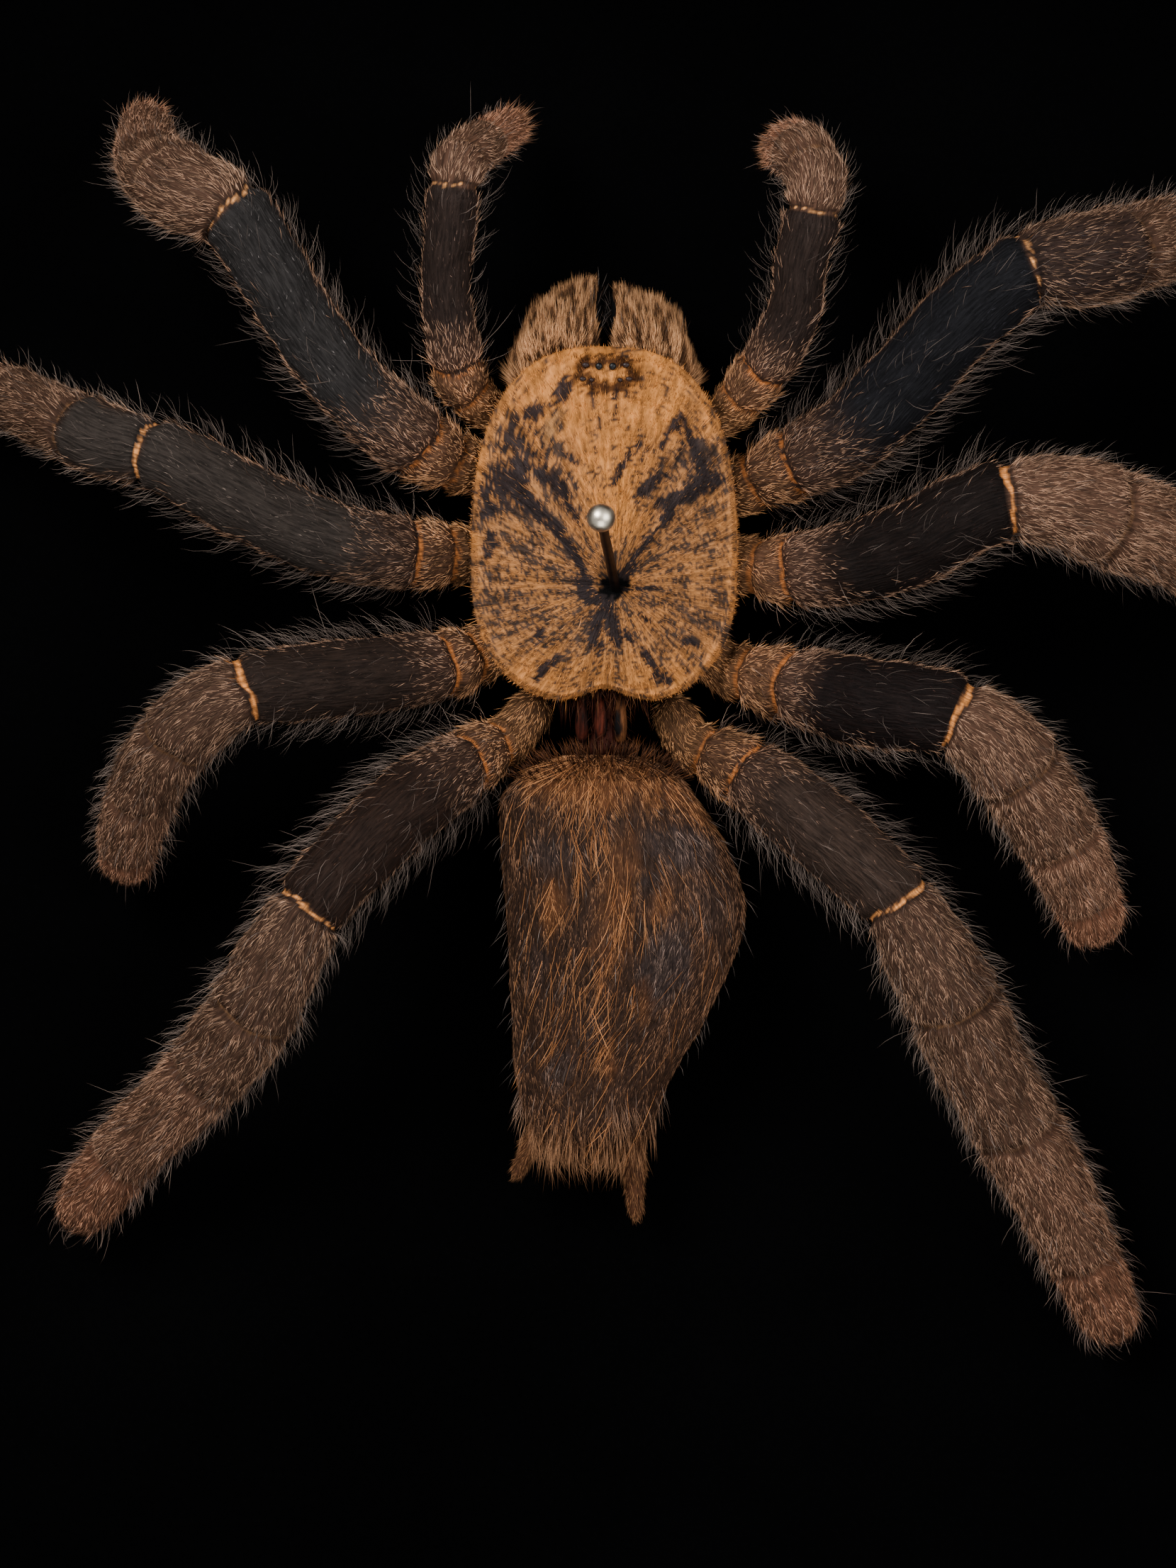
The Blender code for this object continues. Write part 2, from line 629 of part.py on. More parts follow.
def make_box(name, size, middle, material, collection):
    mesh = bpy.data.meshes.new(name)
    block = bmesh.new()
    bmesh.ops.create_cube(block, size=1.0)
    bmesh.ops.scale(block, verts=block.verts, vec=Vector(size) * MM)
    block.to_mesh(mesh)
    block.free()
    box = place_object(name, mesh, material, collection)
    box.location = Vector(middle) * MM
    return box


def make_rails(material, collection, cutters):
    """Four mitred rails, each with a rabbet behind for the board and the back panel."""
    outer, inner = FRAME_OUTER / 2, OPENING / 2
    set_back = GAP * math.sqrt(2) / 2
    outline = [
        (-outer + set_back, outer),
        (-inner + set_back, inner),
        (inner - set_back, inner),
        (outer - set_back, outer),
    ]
    for turn, name in enumerate(("rail_top", "rail_left", "rail_bottom", "rail_right")):
        rail = flat_plate(name, outline, 0.0, FRAME_DEPTH, material, collection)
        rail.rotation_euler.z = turn * math.pi / 2
        rabbet = make_box(
            "rabbet_" + name,
            (FRAME_OUTER, RABBET_OUTER - OPENING, 2 * LEDGE),
            (0.0, RABBET_OUTER / 2 - (RABBET_OUTER - OPENING) / 2, 0.0),
            material,
            cutters,
        )
        rabbet.parent = rail
        boolean(rail, as_cutter(rabbet), "DIFFERENCE")
        soften = rail.modifiers.new("soften", "BEVEL")
        soften.width = EDGE_ROUND * MM
        soften.segments = 2
        soften.limit_method = "WEIGHT"
        weight_front_edges(rail.data)


def weight_front_edges(mesh):
    """Marks the long front edges of a rail, which alone are rounded."""
    front = FRAME_DEPTH * MM - 0.00001
    weights = mesh.attributes.new("bevel_weight_edge", "FLOAT", "EDGE")
    for edge in mesh.edges:
        first, second = (mesh.vertices[index].co for index in edge.vertices)
        level = first.z > front and second.z > front
        along = abs(first.y - second.y) < 0.00001
        weights.data[edge.index].value = 1.0 if level and along else 0.0


def make_board(material, collection, cutters):
    """The black board that the spider is pinned to, with the pin's blind hole."""
    side = RABBET_OUTER - 2 * GAP
    middle = BOARD_FACE - BOARD_THICK / 2
    board = make_box("backing_board", (side, side, BOARD_THICK), (0, 0, middle), material, collection)
    hole = make_pin_hole(
        "board_hole", PIN_POINT_HEIGHT - 0.6, 3.0, cutters, material, HOLE_RADIUS
    )
    boolean(board, hole, "DIFFERENCE")
    return board


def make_back(material, metal, collection):
    """The back panel and the four small points that keep it in."""
    side = RABBET_OUTER - 2 * GAP
    middle = PANEL_BACK + PANEL_THICK / 2
    make_box("back_panel", (side, side, PANEL_THICK), (0, 0, middle), material, collection)
    edge = RABBET_OUTER / 2 - GAP
    half = POINT_WIDTH / 2
    outline = [
        (-half, edge),
        (-half, edge - POINT_LENGTH / 2),
        (0.0, edge - POINT_LENGTH),
        (half, edge - POINT_LENGTH / 2),
        (half, edge),
    ]
    for turn, wall in enumerate(("top", "left", "bottom", "right")):
        name = "panel_point_" + wall
        point = flat_plate(name, outline, POINT_BACK, POINT_BACK + POINT_THICK, metal, collection)
        point.rotation_euler.z = turn * math.pi / 2


def build():
    clear_scene()
    parts = make_collection("framed_tarantula_specimen")
    cutters = make_collection("cutters")
    shell = make_material("carapace_fur", (0.42, 0.19, 0.06), 0.75)
    sac = make_material("abdomen_fur", (0.10, 0.045, 0.025), 0.8)
    leg_fur = make_material("leg_fur", (0.07, 0.04, 0.028), 0.8)
    jaw_fur = make_material("jaw_fur", (0.30, 0.14, 0.06), 0.8)
    steel = make_material("pin_steel", (0.62, 0.60, 0.56), 0.25, 1.0)
    black_board = make_material("board_black", (0.004, 0.004, 0.004), 1.0)
    rail_wood = make_material("rail_wood", (0.018, 0.014, 0.012), 0.45)
    panel_board = make_material("panel_board", (0.30, 0.19, 0.10), 0.8)
    point_steel = make_material("point_steel", (0.55, 0.55, 0.56), 0.35, 1.0)

    prosoma = make_prosoma(shell, parts, cutters)
    hole = make_pin_hole("body_hole", -1.0, 16.0, cutters, shell, HOLE_RADIUS)
    boolean(prosoma, hole, "DIFFERENCE")
    for name, side in (("chelicera_left", -1), ("chelicera_right", 1)):
        chelicera = make_chelicera(name, side, jaw_fur, parts, cutters)
        carve(chelicera, prosoma, cutters)
    abdomen = make_abdomen(sac, parts, cutters)
    for name, (stations, joint_places) in LIMBS.items():
        make_limb(name, stations, joint_places, LIMB_SIDES, LIMB_SPACING, leg_fur, parts)
    for name, stations in SPINNERETS.items():
        spinneret = make_limb(name, stations, (), SPINNERET_SIDES, SPINNERET_SPACING, sac, parts)
        carve(spinneret, abdomen, cutters)
    make_pin(steel, parts)
    make_board(black_board, parts, cutters)
    make_rails(rail_wood, parts, cutters)
    make_back(panel_board, point_steel, parts)


build()
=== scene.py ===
"""The looks of the framed tarantula specimen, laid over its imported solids.

The spider's solids are dressed with finer skins and with hair, the pin is turned smooth, and the box
frame gets its stained wood, black board, back panel and steel. Sizes are millimetres, colours are
linear unless a line says otherwise, and heights of the spider are counted from the black board.
"""

from __future__ import annotations

import logging
import math
from abc import ABC, abstractmethod
from dataclasses import dataclass, field
from enum import Enum
from functools import cached_property
from typing import Callable

import bpy
import numpy as np
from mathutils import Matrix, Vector
from numpy.typing import NDArray

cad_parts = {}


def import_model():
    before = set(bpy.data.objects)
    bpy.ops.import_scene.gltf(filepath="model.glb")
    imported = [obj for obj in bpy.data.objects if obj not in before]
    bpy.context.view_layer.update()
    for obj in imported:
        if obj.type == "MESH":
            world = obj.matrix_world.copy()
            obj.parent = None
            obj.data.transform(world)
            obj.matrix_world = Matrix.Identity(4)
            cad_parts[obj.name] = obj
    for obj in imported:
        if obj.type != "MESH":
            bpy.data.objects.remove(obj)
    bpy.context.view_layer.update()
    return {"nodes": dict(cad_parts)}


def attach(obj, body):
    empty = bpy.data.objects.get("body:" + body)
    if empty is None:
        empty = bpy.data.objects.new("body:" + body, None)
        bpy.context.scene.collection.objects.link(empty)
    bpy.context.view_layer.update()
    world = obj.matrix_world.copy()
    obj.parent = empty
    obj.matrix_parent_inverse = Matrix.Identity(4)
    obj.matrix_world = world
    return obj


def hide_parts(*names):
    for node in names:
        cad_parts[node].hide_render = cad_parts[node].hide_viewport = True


Array = NDArray[np.float64]
Whole = NDArray[np.int32]
Span = tuple[float, float]
Triple = tuple[float, float, float]
Station = tuple[float, float, float, float]
Tone = Callable[[Array, Array, Array], Array]
Surface = tuple[Array, Array, Whole, Whole]
Material = bpy.types.Material
Socket = bpy.types.NodeSocket
Tree = bpy.types.NodeTree
Chance = np.random.Generator

MM = 0.001
BOARD_FACE = 12.8
MIDDLE_X = -1.85
HAIR_CLEARANCE = 0.12
HAIR_SINK = 0.05
BRIGHTEST = 0.95
FAR = 99.0
TURN = 2 * math.pi
LOG = logging.getLogger("specimen")

# Small mathematics


def srgb(red: float, green: float, blue: float) -> Array:
    """Turns a screen colour of 0 to 255 into a linear one."""
    return (np.array([red, green, blue]) / 255.0) ** 2.2


def unit(vectors: Array) -> Array:
    """Scales vectors to length one."""
    return vectors / np.maximum(np.linalg.norm(vectors, axis=-1, keepdims=True), 1e-9)


def rise(low: float, high: float, value: Array) -> Array:
    """Goes smoothly from 0 at low to 1 at high."""
    share = np.clip((value - low) / (high - low), 0.0, 1.0)
    return share * share * (3 - 2 * share)


def mix(first: Array, second: Array, share: Array) -> Array:
    """Blends two colours, or lists of them, by a share for each row."""
    share = np.asarray(share)[..., None]
    return first * (1 - share) + second * share


def bell(value: Array, width: float) -> Array:
    """Gives the bell curve of a value: 1 at zero, and 1/e at the width on either side."""
    return np.exp(-((value / width) ** 2))


def flat(x: Array, y: Array) -> Array:
    """Turns places seen from above into points at height zero."""
    return np.stack([x, y, np.zeros_like(x)], axis=1)


def circle(turn: Array) -> Array:
    """Gives the point of the unit circle in each direction."""
    return np.stack([np.cos(turn), np.sin(turn)], axis=1)


def curve_through(rows: Array, position: Array) -> Array:
    """Reads a smooth curve through rows of numbers at fractional row positions.

    The curve is the Catmull-Rom cubic: it passes through each row, with the slope there taken from
    the rows on either side.

    Args:
        rows: One row for each point that the curve passes through.
        position: Where to read it, counted in rows.

    Returns:
        One row for each position.
    """
    last = len(rows) - 1
    start = np.clip(position.astype(int), 0, last - 1)
    share = (position - start)[:, None]
    before, first = rows[np.maximum(start - 1, 0)], rows[start]
    second, after = rows[start + 1], rows[np.minimum(start + 2, last)]
    return 0.5 * (
        2 * first
        + (second - before) * share
        + (2 * before - 5 * first + 4 * second - after) * share**2
        + (3 * first - before - 3 * second + after) * share**3
    )


def cloud(places: Array, seed: int) -> Array:
    """Value noise from 0 to 1: a random number at each whole-numbered corner, blended smoothly between.

    Args:
        places: Rows of three numbers, already divided by the wanted grain.
        seed: Chooses the pattern.

    Returns:
        One number for each row.
    """
    corner = np.floor(places).astype(np.int64)
    share = places - corner
    share = share * share * (3 - 2 * share)
    total = np.zeros(len(places))
    for offset in np.ndindex(2, 2, 2):
        key = (corner + offset) * np.array([73856093, 19349663, 83492791])
        key = (key[:, 0] ^ key[:, 1] ^ key[:, 2] ^ (seed * 7919)) & 0xFFFFFFFF
        key = ((key ^ (key >> 15)) * 2246822519) & 0xFFFFFFFF
        key = ((key ^ (key >> 13)) * 3266489917) & 0xFFFFFFFF
        weight = np.prod(np.where(np.array(offset) == 1, share, 1 - share), axis=1)
        total += weight * ((key >> 8) & 0xFFFF) / 65535.0
    return total


# Meshes from arrays


def outward(points: Array, quads: Whole, triangles: Whole) -> float:
    """Tells whether a closed surface's faces point out (1) or in (-1), by the sign of its volume.

    Args:
        points: The surface's points.
        quads: Its four-sided faces.
        triangles: Its triangles.

    Returns:
        1 or -1.
    """
    halves = np.concatenate([quads[:, [0, 1, 2]], quads[:, [0, 2, 3]], triangles])
    first, second, third = points[halves[:, 0]], points[halves[:, 1]], points[halves[:, 2]]
    return 1.0 if np.einsum("ij,ij->", first, np.cross(second, third)) > 0 else -1.0


def array_mesh(name: str, points: Array, quads: Whole, triangles: Whole) -> bpy.types.Mesh:
    """Puts points in millimetres and their faces into a mesh, whole arrays at a time.

    Args:
        name: The mesh's name.
        points: Its points in millimetres.
        quads: Its four-sided faces.
        triangles: Its triangles.

    Returns:
        The mesh, shaded smooth.
    """
    mesh = bpy.data.meshes.new(name)
    mesh.vertices.add(len(points))
    mesh.vertices.foreach_set("co", (points * MM).astype(np.float32).ravel())
    corners = np.concatenate([quads.ravel(), triangles.ravel()]).astype(np.int32)
    mesh.loops.add(len(corners))
    mesh.loops.foreach_set("vertex_index", corners)
    starts = np.concatenate(
        [np.arange(len(quads)) * 4, len(quads) * 4 + np.arange(len(triangles)) * 3]
    ).astype(np.int32)
    mesh.polygons.add(len(starts))
    mesh.polygons.foreach_set("loop_start", starts)
    mesh.update(calc_edges=True)
    mesh.shade_smooth()
    return mesh


def paint(mesh: bpy.types.Mesh, name: str, tones: Array) -> None:
    """Stores one colour for each point of a mesh, and dims the brightest without changing their hue.

    Args:
        mesh: The mesh.
        name: The name of the layer.
        tones: One colour, or one for each point.
    """
    layer = mesh.attributes.new(name, "FLOAT_COLOR", "POINT")
    tones = np.broadcast_to(tones, (len(mesh.vertices), 3))
    excess = np.maximum(tones.max(axis=1, keepdims=True) / BRIGHTEST, 1.0)
    full = np.concatenate([tones / excess, np.ones((len(tones), 1))], axis=1)
    layer.data.foreach_set("color", full.astype(np.float32).ravel())


def joined_mesh(name: str, surfaces: list[Surface]) -> bpy.types.Mesh:
    """Joins surfaces into one mesh with a colour at each point.

    Args:
        name: The mesh's name.
        surfaces: For each its points, their colours, its four-sided faces and its triangles.

    Returns:
        The mesh.
    """
    starts = np.cumsum([0] + [len(surface[0]) for surface in surfaces])
    points, tones = (np.concatenate([surface[kind] for surface in surfaces]) for kind in (0, 1))
    quads, triangles = (
        np.concatenate([surface[kind] + start for surface, start in zip(surfaces, starts)]) for kind in (2, 3)
    )
    mesh = array_mesh(name, points, quads, triangles)
    paint(mesh, "tone", tones)
    return mesh


def mark_places(mesh: bpy.types.Mesh, name: str, places: Array) -> None:
    """Stores one vector for each point of a mesh, for a pattern to follow."""
    layer = mesh.attributes.new(name, "FLOAT_VECTOR", "POINT")
    layer.data.foreach_set("vector", places.astype(np.float32).ravel())


def add_piece(
    name: str, mesh: bpy.types.Mesh, material: Material, nodes: tuple[str, ...] = ()
) -> bpy.types.Object:
    """Makes a mesh a piece of the object: it rides on the one body and replaces the nodes it stands for.

    Args:
        name: The piece's name.
        mesh: Its mesh.
        material: Its finish.
        nodes: The solids that the piece stands for.

    Returns:
        The piece.
    """
    mesh.materials.append(material)
    piece = bpy.data.objects.new(name, mesh)
    bpy.context.scene.collection.objects.link(piece)
    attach(piece, "root")
    if nodes:
        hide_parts(*nodes)
    LOG.info("%s: %d points", name, len(mesh.vertices))
    return piece


# Closed surfaces of two parameters


class Form(ABC):
    """A closed surface: u runs from one pole (0) to the other (1), and v once round the form."""

    @abstractmethod
    def place(self, u: Array, v: Array) -> Array:
        """Gives points of the surface.

        Args:
            u: Places along the form, from 0 to 1.
            v: Places round the form, in whole turns.

        Returns:
            Points in millimetres.
        """

    def levels(self, rows: int) -> Array:
        """Gives the values of u at which the skin's rings lie."""
        return np.linspace(0.0, 1.0, rows + 1)[1:-1]

    def skin(self, rows: int, columns: int) -> tuple[Array, Array, Array, Whole, Whole]:
        """Covers the form with a grid: rings of points between two poles, closed round v.

        Args:
            rows: Steps from pole to pole.
            columns: Steps round the form.

        Returns:
            The points with their u and v, the four-sided faces and the fans at the poles.
        """
        level = self.levels(rows)
        ring_u, ring_v = np.meshgrid(level, np.arange(columns) / columns, indexing="ij")
        u = np.concatenate([[0.0], ring_u.ravel(), [1.0]])
        v = np.concatenate([[0.0], ring_v.ravel(), [0.0]])
        points = self.place(u, v)
        start = 1 + np.arange(len(level) - 1)[:, None] * columns
        here, there = np.arange(columns), (np.arange(columns) + 1) % columns
        quads = np.stack(
            [start + here, start + there, start + columns + there, start + columns + here], axis=-1
        ).reshape(-1, 4)
        end = len(points) - 1
        ring = 1 + (len(level) - 1) * columns
        first = np.stack([np.zeros_like(here), 1 + there, 1 + here], axis=-1)
        final = np.stack([np.full_like(here, end), ring + here, ring + there], axis=-1)
        triangles = np.concatenate([first, final])
        if outward(points, quads, triangles) < 0:
            quads, triangles = quads[:, ::-1], triangles[:, ::-1]
        return points, u, v, quads, triangles

    def grown(self, u: Array, v: Array) -> Array:
        """Gives places whose first axis follows the lie of the hair: here, along the body."""
        return self.place(u, v)[:, [1, 0, 2]]

    @cached_property
    def facing(self) -> float:
        """Says which way the cross product of the u and v directions points: 1 out, -1 in.

        Returns:
            The sign of the cross product.
        """
        u, v = np.meshgrid(self.levels(24), np.arange(16) / 16, indexing="ij")
        place = self.place(u.ravel(), v.ravel())
        ahead, around = self.edges(u.ravel(), v.ravel())
        out = place - place.mean(axis=0)
        return 1.0 if np.sum(np.cross(ahead, around) * out) > 0 else -1.0

    def edges(self, u: Array, v: Array) -> tuple[Array, Array]:
        """Measures how the surface moves for a small step in u and in v.

        Args:
            u: Places along the form.
            v: Places round the form.

        Returns:
            The change over a step in u, and over a step in v.
        """
        step = 1.5e-3
        ahead = self.place(np.clip(u + step, 0, 1), v) - self.place(np.clip(u - step, 0, 1), v)
        around = self.place(u, v + step) - self.place(u, v - step)
        return ahead, around

    def frames(self, u: Array, v: Array) -> tuple[Array, Array, Array]:
        """Gives the point, the direction of growing u and the outward normal at each place."""
        ahead, around = self.edges(u, v)
        return self.place(u, v), unit(ahead), unit(np.cross(ahead, around)) * self.facing

    def scatter(
        self, count: int, rng: Chance, low: float = 0.0, high: float = 1.0
    ) -> tuple[Array, Array]:
        """Picks places evenly over the area of the form, between two values of u.

        Candidates are kept with a chance in proportion to the area that a step in u and v covers
        there.

        Args:
            count: How many places are wanted.
            rng: The source of random numbers.
            low: The least u.
            high: The greatest u.

        Returns:
            The places' u and v.
        """
        u = rng.uniform(low, high, count * 6)
        v = rng.uniform(0.0, 1.0, count * 6)
        area = np.linalg.norm(np.cross(*self.edges(u, v)), axis=1)
        kept = rng.uniform(0.0, np.percentile(area, 98), len(u)) < area
        return u[kept][:count], v[kept][:count]


def skin_piece(
    name: str, form: Form, grid: tuple[int, int], tone: Tone | Array, material: Material,
    nodes: tuple[str, ...] = (),
) -> None:
    """Builds a form's skin as a piece.

    Args:
        name: The piece's name.
        form: The surface.
        grid: Steps from pole to pole and round the form.
        tone: One colour, or gives the colours from the points with their u and v.
        material: The finish.
        nodes: The solids that the skin stands for.
    """
    points, u, v, quads, triangles = form.skin(*grid)
    mesh = array_mesh(name, points, quads, triangles)
    paint(mesh, "tone", tone(points, u, v) if callable(tone) else tone)
    mark_places(mesh, "grown", form.grown(u, v))
    add_piece(name, mesh, material, nodes)


# Hair


@dataclass
class Hairs:
    """A coat of hairs: each field has one row for each hair.

    A hair leaves its root in the direction first and ends in the direction last, so that it bends
    evenly between them, and it tapers to a point.
    """

    root: Array
    first: Array
    last: Array
    length: Array
    width: Array
    root_tone: Array
    tip_tone: Array
    bends: int = 2

    def arrays(self) -> Surface:
        """Builds the hairs as three-sided cones, closed at the root.

        A point at a share t of a hair lies at root + length * (first * (t - t*t/2) + last * t*t/2).

        Returns:
            Points, their colours, four-sided faces and triangles.
        """
        count, bends = len(self.root), self.bends
        share = np.arange(bends + 1) / bends
        bow = share**2 / 2
        line = self.root[:, None] + self.length[:, None, None] * (
            self.first[:, None] * (share - bow)[None, :, None] + self.last[:, None] * bow[None, :, None]
        )
        helper = np.where(np.abs(self.first[:, 2:]) > 0.9, [[1.0, 0, 0]], [[0, 0, 1.0]])
        side = unit(np.cross(self.first, helper))
        rise_ = np.cross(self.first, side)
        turn = TURN * np.arange(3) / 3
        spoke = side[:, None] * np.cos(turn)[None, :, None] + rise_[:, None] * np.sin(turn)[None, :, None]
        thick = self.width[:, None] / 2 * (1 - share[None, :bends]) ** 0.6
        rings = line[:, :bends, None] + spoke[:, None] * thick[:, :, None, None]
        points = np.concatenate([rings.reshape(count, -1, 3), line[:, -1:]], axis=1)
        points[..., 2] = np.maximum(points[..., 2], BOARD_FACE + HAIR_CLEARANCE)
        level = np.concatenate([np.repeat(share[:bends], 3), [1.0]])
        tones = mix(self.root_tone[:, None], self.tip_tone[:, None], level[None, :] ** 0.8)
        base = (np.arange(count) * (3 * bends + 1))[:, None, None]
        ring = (np.arange(bends - 1) * 3)[None, :, None]
        here, there = np.arange(3)[None, None, :], ((np.arange(3) + 1) % 3)[None, None, :]
        quads = np.stack(
            [base + ring + here, base + ring + there, base + ring + 3 + there, base + ring + 3 + here],
            axis=-1,
        ).reshape(-1, 4)
        top = base[:, 0] + 3 * (bends - 1)
        tip = base[:, 0] + 3 * bends
        cone = np.stack(
            [top + here[0], top + there[0], np.broadcast_to(tip, (count, 3))], axis=-1
        ).reshape(-1, 3)
        seat = base[:, 0] + np.array([[2, 1, 0]])
        return (
            points.reshape(-1, 3),
            tones.reshape(-1, 3),
            quads.astype(np.int32),
            np.concatenate([cone, seat]).astype(np.int32),
        )


def hair_piece(name: str, coats: list[Hairs], material: Material) -> None:
    """Builds coats of hair as one piece."""
    mesh = joined_mesh(name, [coat.arrays() for coat in coats if len(coat.root)])
    add_piece(name, mesh, material)


Spots = tuple[Array, Array, Array]


def chosen(spots: Spots, keep: Array) -> Spots:
    """Keeps some of the places that hair grows from, each a point, the lie there and the normal."""
    place, ahead, normal = spots
    return place[keep], ahead[keep], normal[keep]


@dataclass(frozen=True)
class Growth:
    """How one kind of hair grows: each pair is a range that chance draws from.

    Lengths and widths are in millimetres, or lengths are shares of the part's own length where relative
    is true. Lifts are in degrees, and settle is the share of the lift that is left at the tip. Yaw is the
    scatter about the lie in radians, spread the scatter of brightness, and close the number of hairs to
    the square millimetre where a coat is laid by area.
    """

    length: Span
    lift: Span
    settle: Span
    width: Span
    bends: int = 1
    yaw: float = 0.2
    spread: float = 0.3
    close: float = 0.0
    relative: bool = False

    def grow(
        self, rng: Chance, spots: Spots, root: Array, tip: Array, yaw: Array | float = 0.0,
        stretch: Array | float = 1.0, steeper: Array | float = 0.0, limit: Array | float = FAR,
    ) -> Hairs:
        """Draws one hair for each spot.

        The first direction is the lie, turned by the yaw, raised from the skin by the lift; the last is
        the same raised by the settled lift.

        Args:
            rng: The chance.
            spots: Points, lies and normals.
            root: The tone at the root, or one for each hair.
            tip: The tone at the tip, or one for each hair.
            yaw: A turn aside from the lie that is added to the scatter.
            stretch: A factor on the lengths.
            steeper: Degrees that are added to the lifts.
            limit: The longest that each hair may be.

        Returns:
            The hairs.
        """
        place, ahead, normal = spots
        count = len(place)
        lift = np.radians(rng.uniform(*self.lift, count) + steeper)[:, None]
        settle = lift * rng.uniform(*self.settle, count)[:, None]
        turn = (rng.normal(0, self.yaw, count) + yaw)[:, None]
        along = unit(ahead - normal * np.sum(ahead * normal, axis=1, keepdims=True))
        lie = along * np.cos(turn) + np.cross(normal, along) * np.sin(turn)
        first = lie * np.cos(lift) + normal * np.sin(lift)
        last = lie * np.cos(settle) + normal * np.sin(settle)
        shade = np.exp(rng.normal(0, self.spread, count))[:, None]
        length = np.minimum(rng.uniform(*self.length, count) * stretch, limit)
        width = rng.uniform(*self.width, count)
        return Hairs(
            place - normal * HAIR_SINK, first, last, length, width, root * shade, tip * shade, self.bends
        )


# Tones

GOLD = srgb(230, 148, 76)
GOLD_DEEP = srgb(192, 130, 80)
UMBER = srgb(64, 47, 38)
ORANGE = srgb(222, 132, 66)
TAN = srgb(206, 148, 96)
CREAM = srgb(212, 134, 72)
SLATE = srgb(34, 38, 45)
SOOT = srgb(72, 60, 54)
NIGHT = srgb(16, 14, 14)
BROWN = srgb(84, 54, 37)
BROWN_TIP = srgb(156, 112, 80)
RUST = srgb(138, 86, 52)
RUST_TIP = srgb(216, 150, 98)
SKIN_BROWN = srgb(40, 27, 21)
OCHRE = srgb(112, 76, 50)
OCHRE_TIP = srgb(228, 168, 118)
BLOOD = srgb(70, 32, 22)
ASH = srgb(146, 134, 126)


# Node groups and finishes


class Sockets:
    """Adds nodes to a tree and links them, so that each finish reads as a short recipe."""

    def __init__(self, tree: Tree) -> None:
        """Starts on a tree."""
        self.tree = tree

    def add(self, kind: str, **values: object) -> bpy.types.Node:
        """Adds a node. Values set its properties, or its inputs where a name starts with in_.

        Args:
            kind: The node's type.
            values: Properties, and inputs whose names start with in_.

        Returns:
            The node.
        """
        node = self.tree.nodes.new(kind)
        for key, value in values.items():
            if key.startswith("in_"):
                name = key[3:]
                socket = node.inputs[int(name)] if name.isdigit() else node.inputs[name.replace("_", " ")]
                if isinstance(value, Socket):
                    self.tree.links.new(value, socket)
                else:
                    socket.default_value = value
            else:
                setattr(node, key, value)
        return node

    def group(self, tree: Tree, **values: object) -> bpy.types.Node:
        """Adds a node group. Values set its inputs by their names."""
        given = {"in_" + name: value for name, value in values.items()}
        return self.add("ShaderNodeGroup", node_tree=tree, **given)

    def link(self, source: Socket, target: Socket) -> None:
        """Joins an output to an input."""
        self.tree.links.new(source, target)

    def ramp(self, value: Socket, *stops: tuple[float, Array]) -> Socket:
        """Turns a value into a colour by stops of position and colour.

        Args:
            value: The value to read.
            stops: Positions and the colours there.

        Returns:
            The colour.
        """
        node = self.add("ShaderNodeValToRGB")
        self.link(value, node.inputs["Fac"])
        elements = node.color_ramp.elements
        while len(elements) < len(stops):
            elements.new(0.5)
        for element, (position, tone) in zip(elements, stops):
            element.position = position
            element.color = (*tone, 1.0)
        return node.outputs["Color"]

    def greys(self, value: Socket, *stops: Span) -> Socket:
        """Turns a value into a grey by stops of position and brightness."""
        return self.ramp(value, *((position, np.full(3, grey)) for position, grey in stops))

    def product(self, first: Socket, second: Socket) -> Socket:
        """Multiplies two values."""
        return self.add("ShaderNodeMath", operation="MULTIPLY", in_0=first, in_1=second).outputs[0]

    def tinted(self, base: Socket, other: Socket, share: float | Socket, blend: str = "MIX") -> Socket:
        """Mixes two colours.

        Args:
            base: The colour where the share is 0.
            other: The colour where the share is 1.
            share: How much of the other colour is mixed in.
            blend: How the two are mixed.

        Returns:
            The colour.
        """
        node = self.add("ShaderNodeMix", data_type="RGBA", blend_type=blend)
        self.link(base, node.inputs[6])
        self.link(other, node.inputs[7])
        if isinstance(share, float):
            node.inputs[0].default_value = share
        else:
            self.link(share, node.inputs[0])
        return node.outputs[2]

    def span(self, value: Socket, low: float, high: float, least: float, most: float) -> Socket:
        """Maps a value from one range to another, without going past its ends.

        Args:
            value: The value to read.
            low: The value that gives the least.
            high: The value that gives the most.
            least: What the low value gives.
            most: What the high value gives.

        Returns:
            The result.
        """
        node = self.add("ShaderNodeMapRange", in_Value=value)
        for name, number in (("From Min", low), ("From Max", high), ("To Min", least), ("To Max", most)):
            node.inputs[name].default_value = number
        return node.outputs["Result"]


def new_group(
    name: str, inputs: dict[str, tuple[str, object]], outputs: dict[str, str]
) -> tuple[Tree, Sockets, bpy.types.Node, bpy.types.Node]:
    """Makes an empty shader group with named inputs and outputs.

    Args:
        name: The group's name.
        inputs: For each input its socket type and default value, or None for no default.
        outputs: For each output its socket type.

    Returns:
        The tree, a node maker for it, and its input and output nodes.
    """
    tree = bpy.data.node_groups.new(name, "ShaderNodeTree")
    for label, (kind, value) in inputs.items():
        socket = tree.interface.new_socket(label, in_out="INPUT", socket_type=kind)
        if value is not None:
            socket.default_value = value
    for label, kind in outputs.items():
        tree.interface.new_socket(label, in_out="OUTPUT", socket_type=kind)
    maker = Sockets(tree)
    return tree, maker, maker.add("NodeGroupInput"), maker.add("NodeGroupOutput")


